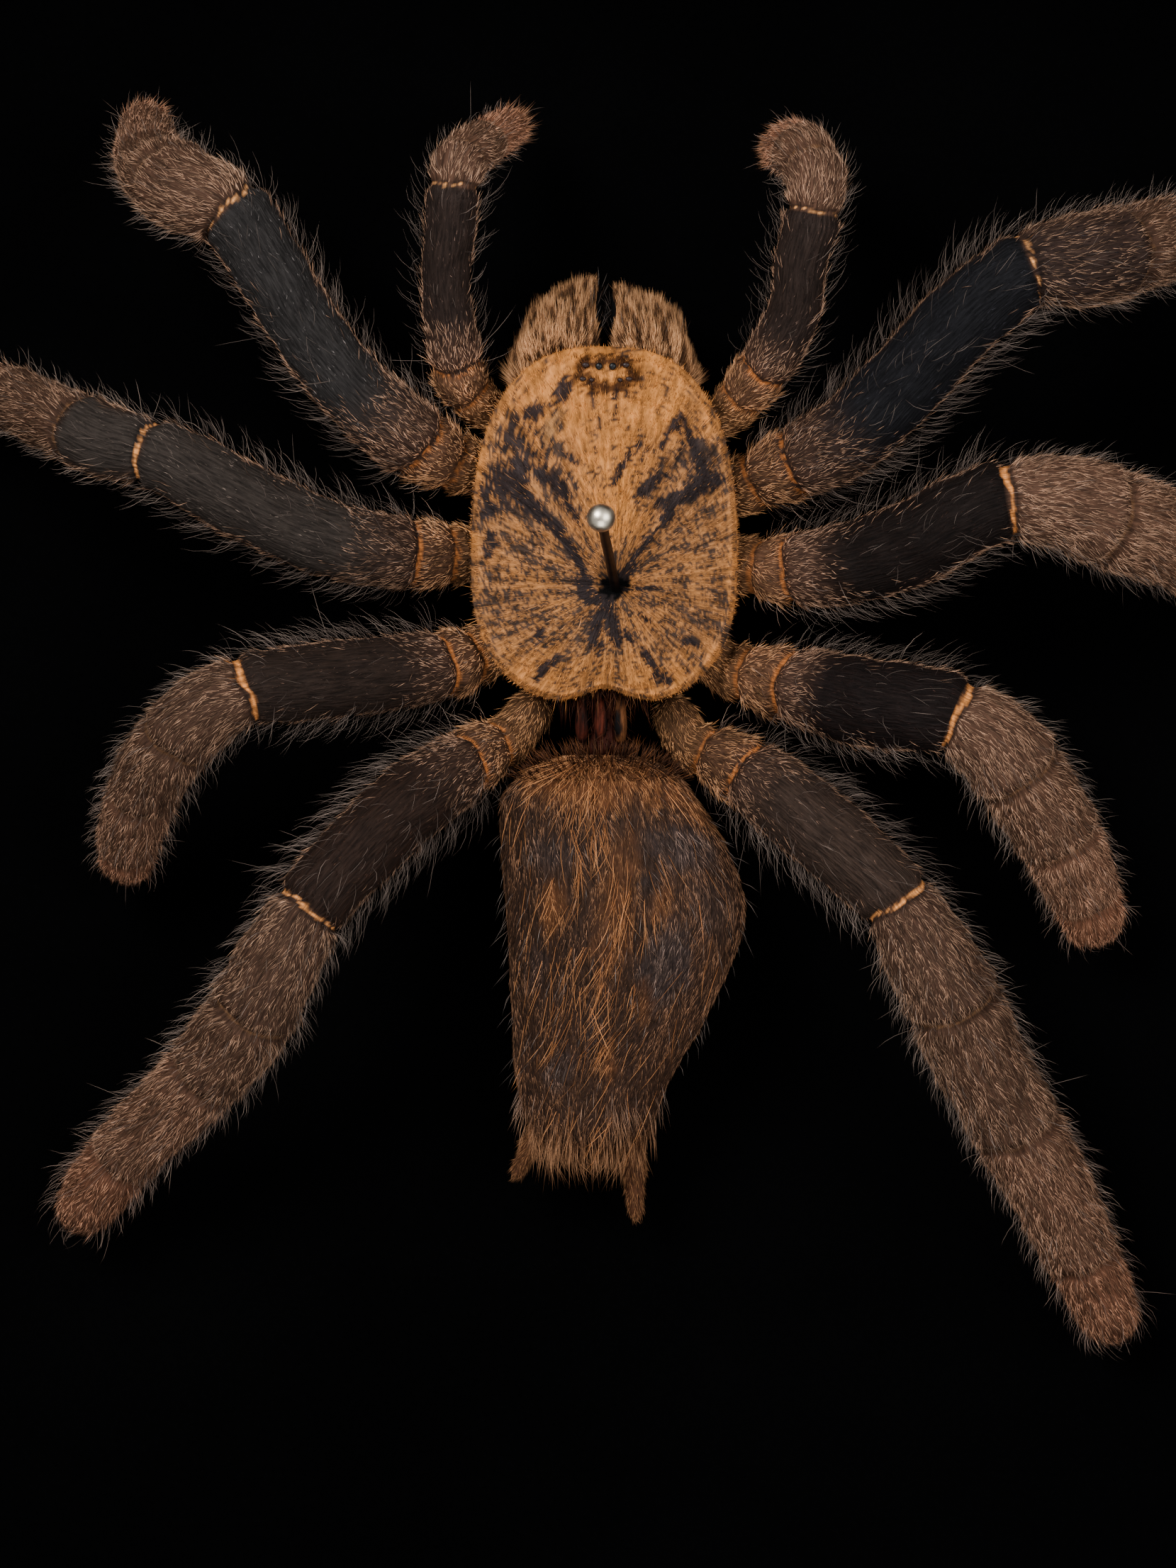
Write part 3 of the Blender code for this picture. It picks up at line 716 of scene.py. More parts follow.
def strand_group() -> Tree:
    """Streaks that run along the first axis of a place in millimetres, as matted fibres do.

    Returns:
        The group.
    """
    tree, maker, given, out = new_group(
        "strand_streaks",
        {
            "Place": ("NodeSocketVector", None),
            "Fineness": ("NodeSocketFloat", 3.0),
            "Stretch": ("NodeSocketFloat", 0.35),
        },
        {"Streak": "NodeSocketFloat"},
    )
    scale = maker.add(
        "ShaderNodeCombineXYZ",
        in_X=given.outputs["Stretch"],
        in_Y=given.outputs["Fineness"],
        in_Z=given.outputs["Fineness"],
    )
    place = maker.add(
        "ShaderNodeVectorMath", operation="MULTIPLY", in_0=given.outputs["Place"], in_1=scale.outputs[0]
    )
    noise = maker.add("ShaderNodeTexNoise", in_Vector=place.outputs[0], in_Scale=1.0, in_Detail=3.0)
    maker.link(maker.span(noise.outputs["Fac"], 0.3, 0.7, 0.0, 1.0), out.inputs["Streak"])
    return tree


def mottle_group() -> Tree:
    """Cloudy patches and fine grit at two scales, for surfaces with no direction.

    Returns:
        The group.
    """
    tree, maker, given, out = new_group(
        "mottle",
        {
            "Place": ("NodeSocketVector", None),
            "Patch Scale": ("NodeSocketFloat", 40.0),
            "Grit Scale": ("NodeSocketFloat", 1500.0),
        },
        {"Patches": "NodeSocketFloat", "Grit": "NodeSocketFloat"},
    )
    for label, scale, low, high in (("Patches", "Patch Scale", 0.35, 0.65), ("Grit", "Grit Scale", 0.3, 0.7)):
        place, size = given.outputs["Place"], given.outputs[scale]
        noise = maker.add("ShaderNodeTexNoise", in_Vector=place, in_Scale=size, in_Detail=4.0)
        maker.link(maker.span(noise.outputs["Fac"], low, high, 0.0, 1.0), out.inputs[label])
    return tree


@dataclass(frozen=True)
class Finish:
    """Shared start of a finish: a Principled shader with its constant values."""

    name: str
    roughness: float = 0.8
    metallic: float = 0.0
    specular: float = 0.5
    bump: float = 0.3

    def start(self) -> tuple[Material, Sockets, bpy.types.Node]:
        """Makes the material, a node maker for it and finds its shader.

        Returns:
            The material, a maker for its nodes, and its shader.
        """
        material = bpy.data.materials.new(self.name)
        material.use_nodes = True
        shader = material.node_tree.nodes["Principled BSDF"]
        shader.inputs["Roughness"].default_value = self.roughness
        shader.inputs["Metallic"].default_value = self.metallic
        shader.inputs["Specular IOR Level"].default_value = self.specular
        return material, Sockets(material.node_tree), shader

    def raise_bumps(self, maker: Sockets, shader: bpy.types.Node, height: Socket, depth: float) -> None:
        """Sets a relief of a depth in millimetres on the shader's normal."""
        bump = maker.add("ShaderNodeBump", in_Height=height, in_Strength=self.bump, in_Distance=depth * MM)
        maker.link(bump.outputs["Normal"], shader.inputs["Normal"])


@dataclass(frozen=True)
class FurredSkin(Finish):
    """Skin under the hair: painted tones broken up by streaks that follow the lie of the hair."""

    fineness: float = 5.0
    stretch: float = 0.8
    dark: float = 0.45
    light: float = 1.5
    gloss: float = 0.2
    relief: float = 0.15

    def build(self, strands: Tree) -> Material:
        """Makes the material from the shared streaks.

        Args:
            strands: The shared group of streaks.

        Returns:
            The material.
        """
        material, maker, shader = self.start()
        tone = maker.add("ShaderNodeAttribute", attribute_name="tone").outputs["Color"]
        grown = maker.add("ShaderNodeAttribute", attribute_name="grown").outputs["Vector"]
        group = maker.group(strands, Place=grown, Fineness=self.fineness, Stretch=self.stretch)
        streak = group.outputs["Streak"]
        shade = maker.greys(streak, (0.0, self.dark), (1.0, self.light))
        maker.link(maker.tinted(tone, shade, 1.0, "MULTIPLY"), shader.inputs["Base Color"])
        rough = maker.span(streak, 0.0, 1.0, self.roughness, self.roughness - self.gloss)
        maker.link(rough, shader.inputs["Roughness"])
        self.raise_bumps(maker, shader, streak, self.relief)
        return material


@dataclass(frozen=True)
class WornFinish(Finish):
    """Hair, horn or bare metal: a tone clouded by patches, and a gloss broken by grit.

    The tone is the mesh's painted one, or one tone, or for the pin two that change at a height in metres.
    """

    patch_scale: float = 600.0
    shades: Span = (0.8, 1.1)
    grit: float = 0.15
    coat: float = 0.0
    tone: Triple | None = None
    tone_above: Triple | None = None
    change: float = 0.0338

    def build(self, mottle: Tree) -> Material:
        """Makes the material from the shared mottle.

        Args:
            mottle: The shared group of patches and grit.

        Returns:
            The material.
        """
        material, maker, shader = self.start()
        place = maker.add("ShaderNodeTexCoord").outputs["Object"]
        clouds = maker.group(mottle, Place=place, Patch_Scale=self.patch_scale)
        if self.tone is None:
            colour = maker.add("ShaderNodeAttribute", attribute_name="tone").outputs["Color"]
        else:
            height = maker.add("ShaderNodeSeparateXYZ", in_Vector=place).outputs["Z"]
            above = maker.span(height, self.change, self.change + 0.0001, 0.0, 1.0)
            colour = maker.ramp(above, (0.0, self.tone), (1.0, self.tone_above or self.tone))
        worn = maker.greys(clouds.outputs["Patches"], (0.0, self.shades[0]), (1.0, self.shades[1]))
        maker.link(maker.tinted(colour, worn, 1.0, "MULTIPLY"), shader.inputs["Base Color"])
        rough = maker.span(clouds.outputs["Grit"], 0.0, 1.0, self.roughness, self.roughness + self.grit)
        maker.link(rough, shader.inputs["Roughness"])
        shader.inputs["Coat Weight"].default_value = self.coat
        return material


@dataclass(frozen=True)
class BoardFinish(Finish):
    """Black or brown board: flat colour with cloudy patches and a fibrous grit."""

    dark: Triple = (0.0001, 0.0001, 0.0001)
    light: Triple = (0.0007, 0.0007, 0.0008)
    grit_depth: float = 0.05
    grit_scale: float = 2200.0

    def build(self, mottle: Tree) -> Material:
        """Makes the material from the shared mottle.

        Args:
            mottle: The shared group of patches and grit.

        Returns:
            The material.
        """
        material, maker, shader = self.start()
        place = maker.add("ShaderNodeTexCoord").outputs["Object"]
        clouds = maker.group(mottle, Place=place, Grit_Scale=self.grit_scale)
        dark, light = np.array(self.dark), np.array(self.light)
        wide = maker.ramp(clouds.outputs["Patches"], (0.0, dark), (1.0, light))
        fine = maker.ramp(clouds.outputs["Grit"], (0.0, dark), (1.0, light * 1.2))
        maker.link(maker.tinted(wide, fine, 0.5), shader.inputs["Base Color"])
        rough = maker.span(clouds.outputs["Grit"], 0.0, 1.0, self.roughness - 0.1, self.roughness)
        maker.link(rough, shader.inputs["Roughness"])
        self.raise_bumps(maker, shader, clouds.outputs["Grit"], self.grit_depth)
        return material


class Lie(Enum):
    """The axis that a rail's grain follows."""

    ACROSS = "across"
    UPRIGHT = "upright"


@dataclass(frozen=True)
class StainedWood(Finish):
    """Black-stained wood: grain along the rail, and brown wood rubbed bare on the front edges.

    The grain is a wide figure and fine pores, each with its fineness across and along. Front is the span of
    heights in metres over which the front edges begin to wear.
    """

    lie: Lie = Lie.ACROSS
    grain: tuple[Span, Span] = ((0.55, 0.02), (2.6, 0.06))
    front: Span = (0.0409, 0.0420)
    patch_scale: float = 160.0
    relief: float = 0.08
    dark: Triple = (0.006, 0.005, 0.0045)
    light: Triple = (0.030, 0.023, 0.018)
    bare: Triple = (0.16, 0.09, 0.05)

    def build(self, strands: Tree, mottle: Tree) -> Material:
        """Makes the material from the shared streaks and mottle.

        Args:
            strands: The shared group of streaks.
            mottle: The shared group of patches and grit.

        Returns:
            The material.
        """
        material, maker, shader = self.start()
        place = maker.add("ShaderNodeTexCoord").outputs["Object"]
        turned = maker.add("ShaderNodeMapping", in_Vector=place, in_Scale=(1 / MM,) * 3)
        if self.lie is Lie.UPRIGHT:
            turned.inputs["Rotation"].default_value = (0.0, 0.0, math.pi / 2)
        place_on_rail = turned.outputs[0]
        figure, pore = (
            maker.group(strands, Place=place_on_rail, Fineness=fine, Stretch=long).outputs["Streak"]
            for fine, long in self.grain
        )
        dark, light, bare = np.array(self.dark), np.array(self.light), np.array(self.bare)
        wide = maker.ramp(figure, (0.0, dark), (0.6, dark * 2), (1.0, light))
        stain = maker.tinted(wide, maker.greys(pore, (0.0, 0.35), (0.5, 1.0), (1.0, 1.3)), 1.0, "MULTIPLY")
        height = maker.add("ShaderNodeSeparateXYZ", in_Vector=place).outputs["Z"]
        near_front = maker.span(height, *self.front, 0.0, 1.0)
        clouds = maker.group(mottle, Place=place, Patch_Scale=self.patch_scale)
        normal = maker.add("ShaderNodeNewGeometry").outputs["True Normal"]
        slope = maker.add("ShaderNodeSeparateXYZ", in_Vector=normal).outputs["Z"]
        rubbed = maker.product(near_front, maker.span(slope, 0.55, 0.98, 1.0, 0.0))
        worn = maker.product(rubbed, maker.span(clouds.outputs["Patches"], 0.45, 1.0, 0.0, 0.75))
        wood = maker.ramp(pore, (0.0, bare * 0.5), (1.0, bare))
        maker.link(maker.tinted(stain, wood, worn), shader.inputs["Base Color"])
        rough = maker.span(pore, 0.0, 1.0, self.roughness + 0.15, self.roughness - 0.08)
        maker.link(rough, shader.inputs["Roughness"])
        self.raise_bumps(maker, shader, pore, self.relief)
        return material


@dataclass
class Finishes:
    """Every material of the object, built once."""

    skin: Material = field(init=False)
    hair: Material = field(init=False)
    horn: Material = field(init=False)
    steel: Material = field(init=False)
    point_steel: Material = field(init=False)
    board: Material = field(init=False)
    panel: Material = field(init=False)
    rail_across: Material = field(init=False)
    rail_upright: Material = field(init=False)

    def __post_init__(self) -> None:
        """Builds the shared groups, then each finish."""
        strands, mottle = strand_group(), mottle_group()
        self.skin = FurredSkin("furred_skin", roughness=0.85, specular=0.1, bump=0.6).build(strands)
        self.hair = WornFinish(
            "hair", roughness=0.45, specular=0.1, shades=(0.94, 1.04), grit=0.2
        ).build(mottle)
        self.horn = WornFinish("horn_and_eyes", roughness=0.4, specular=0.25, coat=0.05).build(mottle)
        # Pin: the shank's near-black tone is partly black enamel and partly a painted dark reflection; the
        # head's warm pale tone is partly brass and partly a painted reflection of the tan fur.
        self.steel = WornFinish(
            "pin_steel", roughness=0.28, metallic=1.0, tone=(0.055, 0.04, 0.038), tone_above=(0.9, 0.78, 0.6)
        ).build(mottle)
        self.point_steel = WornFinish(
            "panel_point_steel", roughness=0.35, metallic=1.0, patch_scale=400.0, tone=(0.5, 0.5, 0.51)
        ).build(mottle)
        self.board = BoardFinish("black_board", roughness=1.0, specular=0.02, bump=0.35).build(mottle)
        self.panel = BoardFinish(
            "back_panel_board",
            roughness=0.85,
            specular=0.3,
            dark=(0.16, 0.09, 0.045),
            light=(0.34, 0.21, 0.12),
            grit_depth=0.12,
        ).build(mottle)
        self.rail_across, self.rail_upright = (
            StainedWood(name, roughness=0.46, specular=0.3, lie=lie).build(strands, mottle)
            for name, lie in (("stained_wood_across", Lie.ACROSS), ("stained_wood_upright", Lie.UPRIGHT))
        )


# Limbs


class Part(Enum):
    """The parts of a limb from the body out, which index the rows of a limb's coat."""

    COXA = 0
    TROCHANTER = 1
    FEMUR = 2
    PATELLA = 3
    TIBIA = 4
    METATARSUS = 5
    TARSUS = 6


@dataclass(frozen=True)
class PartCoat:
    """The hair on one part of a limb: screen colours of root and tip, length and lift in degrees."""

    root: tuple[int, int, int]
    tip: tuple[int, int, int]
    length: float
    lift: float


LIMB_COATS: dict[Part, PartCoat] = {
    Part.COXA: PartCoat((98, 68, 46), (232, 168, 114), 0.9, 24.0),
    Part.TROCHANTER: PartCoat((86, 60, 44), (216, 158, 112), 1.0, 22.0),
    Part.FEMUR: PartCoat((66, 48, 39), (166, 128, 102), 1.0, 18.0),
    Part.PATELLA: PartCoat((78, 56, 44), (184, 145, 117), 1.0, 15.0),
    Part.TIBIA: PartCoat((80, 57, 44), (186, 146, 118), 1.15, 16.0),
    Part.METATARSUS: PartCoat((94, 66, 51), (210, 162, 130), 1.2, 20.0),
    Part.TARSUS: PartCoat((108, 72, 54), (210, 155, 122), 1.05, 28.0),
}


class Coat(Enum):
    """The kinds of hair on a limb."""

    FUR = Growth((0.5, 1.05), (-8, 12), (-0.2, 0.8), (0.045, 0.07), 1, 0.22, 0.5, close=19.5, relative=True)
    VELVET = Growth((0.3, 0.65), (4, 18), (0.2, 0.5), (0.045, 0.075), 1, 0.25, 0.45, close=17.0)
    PILE = Growth((0.9, 1.5), (16, 34), (0.1, 0.9), (0.03, 0.05), 2, 0.3, 0.45, close=1.1)
    FRINGE = Growth((1.3, 3.1), (42, 78), (-0.3, 0.5), (0.02, 0.03), 3, 0.3, 0.35, close=2.6)
    BRISTLE = Growth((2.4, 4.4), (40, 78), (-1.2, 1.2), (0.026, 0.04), 4, 0.3, 0.3, close=0.1)


@dataclass
class LimbForm(Form):
    """A limb's skin: circles carried along a smooth middle line, pinched at the joints.

    The radius is half the fur's width less the depth of the fur. Near a joint it has a shallow groove
    and, just before it, the flared lip of the part that ends there.
    """

    stations: tuple[Station, ...]
    joint_places: tuple[float, ...]
    pile: float = 0.34
    seed: int = 1

    def __post_init__(self) -> None:
        """Works out the middle line, its frames and the joints' distances along it."""
        rows = np.array(self.stations)
        position = np.linspace(0, len(rows) - 1, (len(rows) - 1) * 24 + 1)
        line = curve_through(rows, position)
        self.centre = line[:, :3] + [0.0, 0.0, BOARD_FACE]
        self.width = line[:, 3]
        hops = np.linalg.norm(np.diff(self.centre, axis=0), axis=1)
        self.run = np.concatenate([[0.0], np.cumsum(hops)])
        self.length = float(self.run[-1])
        self.joints = np.interp(self.joint_places, position, self.run)
        ahead = unit(np.gradient(self.centre, self.run, axis=0))
        self.side = unit(np.cross(ahead, [0.0, 0.0, 1.0]))
        self.up = np.cross(self.side, ahead)

    def read(self, values: Array, distance: Array) -> Array:
        """Reads rows kept along the middle line at a distance from the limb's start."""
        return np.stack([np.interp(distance, self.run, column) for column in values.T], axis=1)

    def joint_distance(self, u: Array, v: Array) -> Array:
        """Measures the distance along the limb with the joints' bowed and wavy course taken out.

        Args:
            u: Places along the form.
            v: Places round the form.

        Returns:
            Distances along the limb in millimetres.
        """
        turn = TURN * v
        wave = 0.22 * np.sin(turn) + 0.12 * np.sin(2 * turn + self.seed)
        wave += 0.07 * np.sin(5 * turn + 2 * self.seed)
        return u * self.length - wave

    def radius(self, u: Array, v: Array) -> Array:
        """Gives the distance of the skin from the middle line.

        Args:
            u: Places along the form.
            v: Places round the form.

        Returns:
            Radii in millimetres.
        """
        distance = u * self.length
        half = np.interp(distance, self.run, self.width) / 2
        head, tail = self.width[0] / 2, self.width[-1] / 2
        near_head = np.clip(distance / head, 0, 1)
        near_tail = np.clip((self.length - distance) / tail, 0, 1)
        rounding = np.sqrt(1 - (1 - near_head) ** 2) * np.sqrt(1 - (1 - near_tail) ** 2)
        bare = self.joint_distance(u, v)
        shape = np.ones_like(half)
        for joint in self.joints:
            shape -= 0.13 * bell(bare - joint, 0.42)
            shape += 0.045 * bell(bare - joint + 0.85, 0.45)
        turn = TURN * v
        shape += 0.018 * np.sin(3 * turn + 0.8 * distance + self.seed)
        shape += 0.015 * np.sin(1.9 * distance + 2 * turn + 3 * self.seed)
        return np.maximum(half - self.pile, 0.25 * half) * shape * rounding

    def place(self, u: Array, v: Array) -> Array:
        """Gives points of the skin: the middle line plus a spoke of the radius there."""
        distance = np.asarray(u) * self.length
        turn = (TURN * np.asarray(v))[:, None]
        spoke = self.read(self.side, distance) * np.cos(turn) + self.read(self.up, distance) * np.sin(turn)
        return self.read(self.centre, distance) + unit(spoke) * self.radius(u, v)[:, None]

    @cached_property
    def surface(self) -> float:
        """Measures the area over the fur in square millimetres."""
        middles = (self.width[1:] + self.width[:-1]) / 2
        return math.pi * float(np.sum(middles * np.diff(self.run)))

    def part(self, u: Array) -> Whole:
        """Counts the joints passed, which numbers the limb's parts from the body out."""
        return np.searchsorted(self.joints, u * self.length)

    def grown(self, u: Array, v: Array) -> Array:
        """Lays the limb out straight along the first axis, for patterns to follow."""
        half = np.interp(u * self.length, self.run, self.width) / 2
        turn = TURN * v
        return np.stack([u * self.length + 17 * self.seed, half * np.cos(turn), half * np.sin(turn)], axis=1)


@dataclass(frozen=True)
class LimbLook:
    """What sets one limb's coat apart.

    Velvet is the screen colour of the dark femur, and ring is how bold and unbroken the ring past it
    is. Flare is how far the hair of the tip fans out.
    """

    velvet: tuple[int, int, int]
    light: float = 1.0
    fringe: float = 1.0
    dark_patella: float = 0.0
    ring: float = 1.0
    flare: float = 0.0


LIMB_LOOKS = {
    "palp_left": LimbLook((61, 48, 42), 1.8, 0.8, ring=0.3, flare=1.0),
    "palp_right": LimbLook((61, 48, 42), 1.75, 0.8, ring=0.3, flare=1.0),
    "leg_1_left": LimbLook((63, 59, 57), 1.35, 1.0, ring=0.35, flare=0.4),
    "leg_1_right": LimbLook((34, 33, 36), 1.15, 1.3, 0.55, ring=0.35),
    "leg_2_left": LimbLook((71, 62, 56), 1.0, 1.0, 1.0, ring=0.7),
    "leg_2_right": LimbLook((36, 26, 22), 1.75, 1.1),
    "leg_3_left": LimbLook((57, 44, 37), 1.1, 1.2),
    "leg_3_right": LimbLook((36, 25, 22), 1.62, 1.1),
    "leg_4_left": LimbLook((56, 40, 32), 1.05, 1.5, ring=0.75),
    "leg_4_right": LimbLook((73, 57, 48), 1.12, 1.3, ring=0.8),
}


@dataclass
class Limb:
    """A leg or palp: its skin, dense fur, short dark velvet on the femur, fringe and long bristles."""

    name: str
    form: LimbForm
    look: LimbLook
    body: ProsomaForm

    @property
    def parts(self) -> list[Part]:
        """Lists the limb's parts. A palp has no metatarsus."""
        every = list(Part)
        return every if len(self.form.joints) == 6 else [p for p in every if p is not Part.METATARSUS]

    @property
    def rings(self) -> list[tuple[float, Array, float]]:
        """Gives each joint's half width, tone and how bright its bare ring is, from the body out.

        Returns:
            One row for each joint.
        """
        bold = self.look.ring
        rings = [
            (0.16, ORANGE, 0.35),
            (0.15, ORANGE, 0.5),
            (0.045 + 0.065 * bold, mix(TAN, CREAM, bold), 1.0),
            (0.09, TAN, 0.12),
            (0.09, TAN, 0.06),
            (0.09, TAN, 0.0),
        ]
        return rings[: len(self.form.joints)]

    def blackness(self, u: Array, v: Array) -> Array:
        """Says how black the hair is: on the upper side of the femur, and of the patella if it is dark.

        Args:
            u: Places along the form.
            v: Places round the form.

        Returns:
            Shares from 0 to 1.
        """
        distance = u * self.form.length
        joints = self.form.joints
        start, end = joints[1], joints[2]
        on_top = np.sin(TURN * v) + 0.5 * (cloud(self.form.grown(u, v) / [2.4, 0.8, 0.8], 5) - 0.5)
        femur = rise(start + 0.06 * (end - start), start + 0.36 * (end - start), distance)
        femur *= 1 - rise(end - 0.1, end + 0.1, distance)
        dark = femur * rise(-0.2, 0.4, on_top)
        patella = rise(end, end + 0.3, distance) * (1 - rise(joints[3] - 0.9, joints[3] + 0.6, distance))
        return np.maximum(dark, self.look.dark_patella * patella * rise(0.1, 0.7, on_top))

    def ring_marks(self, u: Array, v: Array) -> list[tuple[Array, Array, float]]:
        """Gives for each ring how far inside it each place lies, the shadow beyond it, and its tone.

        Args:
            u: Places along the form.
            v: Places round the form.

        Returns:
            One row for each ring.
        """
        bare = self.form.joint_distance(u, v)
        grown = self.form.grown(u, v)
        rough = 0.45 + 1.1 * cloud(grown / 0.4, 7)
        gaps = 0.45 * self.look.ring
        whole = rise(0.6 - gaps, 0.72 - gaps, cloud(grown / 0.3, 6))
        marks = []
        for joint, (half, shade, strength) in zip(self.form.joints, self.rings):
            reach = half * rough
            inside = strength * whole * (1 - rise(0.6, 1.5, np.abs(bare - joint) / reach))
            shadow = 0.6 * strength * bell(bare - joint - half * 2.4, half * 1.1)
            marks.append((inside, shadow, shade))
        return marks

    def skin_tones(self, _: Array, u: Array, v: Array) -> Array:
        """Paints the skin: the hair's root tones, the femur's velvet, and the joints' pale bare rings.

        Args:
            u: Places along the form.
            v: Places round the form.

        Returns:
            One colour for each place.
        """
        form = self.form
        roots = self.coat_tones(u)[0] * 0.45 * self.look.light
        tone = mix(roots, srgb(*self.look.velvet) * 0.35, self.blackness(u, v))
        flecks = 0.35 + 0.9 * cloud(form.grown(u, v) / 0.14, 9)
        for inside, shadow, shade in self.ring_marks(u, v):
            tone = mix(tone, NIGHT, shadow)
            tone = mix(tone, shade * flecks[:, None], inside)
        return tone

    def room_to_ring(self, u: Array, v: Array) -> tuple[Array, Array]:
        """Measures the way along the limb to the next bright ring.

        Args:
            u: Places along the form.
            v: Places round the form.

        Returns:
            The distance to the next bright ring and whether the root stands in any ring.
        """
        bare = self.form.joint_distance(u, v)
        room = np.full(len(u), FAR)
        inside = np.zeros(len(u), bool)
        for joint, (half, _, strength) in zip(self.form.joints, self.rings):
            gap = joint - half - bare
            if strength > 0.7:
                room = np.where(gap > 0, np.minimum(room, gap), room)
            inside |= np.abs(bare - joint) < half * (1.1 if strength > 0.5 else 0.0)
        return room, inside

    def covered(self, place: Array) -> Array:
        """Says which places lie well under the carapace, where no hair would show.

        Args:
            place: Points in millimetres.

        Returns:
            True for each covered point.
        """
        out = place[:, :2] - np.array(self.body.middle)
        edge = self.body.edge(np.arctan2(out[:, 1], out[:, 0])) - np.array(self.body.middle)
        return np.linalg.norm(out, axis=1) < 0.9 * np.linalg.norm(edge, axis=1)

    def coat_tones(self, u: Array) -> tuple[Array, Array]:
        """Gives the linear root and tip tone of the part that each place lies on.

        Args:
            u: Places along the form.

        Returns:
            The root's and the tip's colour for each place.
        """
        coats = [LIMB_COATS[part] for part in self.parts]
        part = self.form.part(u)
        roots = np.array([srgb(*coat.root) for coat in coats])
        tips = np.array([srgb(*coat.tip) for coat in coats])
        return roots[part], tips[part]

    def keeps(self, kind: Coat, rng: Chance, u: Array, v: Array, black: Array) -> Array:
        """Chooses where a kind of hair grows.

        Args:
            kind: The kind of hair.
            rng: The source of random numbers.
            u: Places along the form.
            v: Places round the form.
            black: How black the hair is at each place.

        Returns:
            True for each place that is kept.
        """
        height = np.sin(TURN * v)
        chance = rng.uniform(0, 1, len(u))
        if kind is Coat.VELVET:
            return (chance < black) & (height > -0.35)
        if kind is Coat.FUR:
            return (chance > black) & (rng.uniform(0, 1, len(u)) < 0.6 + 0.4 * height)
        if kind is Coat.PILE:
            return (np.abs(height) < 0.8) & (chance > 0.6 * black)
        past_base = u * self.form.length > self.form.joints[0]
        return past_base & ((np.abs(height) < 0.5) | (chance < 0.15) | (kind is Coat.BRISTLE))

    def coat(self, rng: Chance, kind: Coat) -> Hairs:
        """Grows one kind of hair over the limb, and keeps the hairs that have room.

        Args:
            rng: The source of random numbers.
            kind: The kind of hair.

        Returns:
            The hairs.
        """
        growth: Growth = kind.value
        form, look = self.form, self.look
        long_kind = kind in (Coat.FRINGE, Coat.BRISTLE)
        close = growth.close * (look.fringe if long_kind else 1.0)
        u, v = form.scatter(int(close * form.surface), rng)
        black = self.blackness(u, v)
        room, inside = self.room_to_ring(u, v)
        bare = inside & (rng.uniform(0, 1, len(u)) < 0.8)
        keep = ~bare & ~self.covered(form.place(u, v)) & self.keeps(kind, rng, u, v, black)
        u, v, room, inside = u[keep], v[keep], room[keep], inside[keep]
        count, part, grown = len(u), form.part(u), form.grown(u, v)
        base = part < Part.FEMUR.value
        root, tip = self.coat_tones(u)
        flare = look.flare * rise(form.length - 3.4, form.length - 0.8, u * form.length)
        stretch, steeper = np.ones(count), np.zeros(count)
        shade = 0.45 + 1.1 * rise(0.2, 0.8, cloud(grown / [1.8, 0.32, 0.32], 8))
        light = np.where(base, 1.9, look.light)
        if growth.relative:
            own = np.array([(LIMB_COATS[p].length, LIMB_COATS[p].lift) for p in self.parts])[part]
            stretch = own[:, 0] * (1 + 0.8 * flare)
            steeper = own[:, 1] + 22 * flare
            bare_distance = form.joint_distance(u, v)
            glow = sum(bell(bare_distance - joint + 0.2, 0.45) for joint in form.joints[:2])
            tip = mix(mix(tip, RUST_TIP, 0.4 * flare), ORANGE, 0.6 * np.clip(glow, 0, 1))
            tip = mix(tip, CREAM, inside)
        if kind is Coat.VELVET:
            pale = (rng.uniform(0, 1, count) > 0.86)[:, None]
            root = np.tile(srgb(*look.velvet) * 0.3, (count, 1))
            tip = np.where(pale, 4.2, 0.8) * srgb(*look.velvet)
            light = np.ones(count)
        limit = FAR
        if long_kind:
            stretch = (0.7 + 0.3 * look.fringe) * np.where(part == Part.FEMUR.value, 1.15, 0.8)
            root, tip = mix(root, ASH * 0.4, 0.5), mix(tip, ASH, 0.75)
            light, shade = 0.8, np.ones(count)
        else:
            slack = np.where(rng.uniform(0, 1, count) < 0.15, 0.35, 0.08)
            limit = np.maximum(room * 1.05 + slack, 0.2)
        patch = np.where(base, 0.35 + 1.4 * rise(0.3, 0.7, cloud(grown / 1.2, 33)), 1.0)
        shade = (shade * light * patch)[:, None]
        tangle = 0.7 * (cloud(grown / 1.3, 31) - 0.5)
        spots, root, tip = form.frames(u, v), root * shade * 0.8, tip * shade
        return growth.grow(rng, spots, root, tip, tangle, stretch, steeper, limit)

    def build(self, finishes: Finishes) -> None:
        """Builds the skin in the place of the limb's solid, and all the limb's hair.

        Args:
            finishes: The materials.
        """
        name, grid = self.name + "_skin", (int(self.form.length / 0.14), 44)
        skin_piece(name, self.form, grid, self.skin_tones, finishes.skin, (self.name,))
        rng = np.random.default_rng(self.form.seed + 100)
        coats = [self.coat(rng, kind) for kind in Coat]
        hair_piece(self.name + "_hair", coats, finishes.hair)


LEG_JOINTS = {
    "leg_1_left": (1.8, 2.7, 7.0, 8.3, 9.1, 10.2),
    "leg_1_right": (1.7, 2.6, 8.0, 9.8, 11.5, 13.0),
    "leg_2_left": (1.8, 2.7, 8.0, 9.5, 10.9, 12.2),
    "leg_2_right": (1.7, 2.5, 7.0, 8.7, 10.5, 12.1),
    "leg_3_left": (1.6, 2.4, 6.0, 7.6, 9.0, 10.3),
    "leg_3_right": (1.6, 2.5, 6.0, 7.6, 9.0, 10.2),
    "leg_4_left": (1.5, 2.3, 6.0, 7.8, 9.3, 11.3),
    "leg_4_right": (1.6, 2.5, 6.0, 7.8, 9.9, 12.0),
    "palp_left": (1.7, 2.6, 6.0, 7.1, 8.2),
    "palp_right": (1.7, 2.6, 6.0, 7.2, 8.0),
}

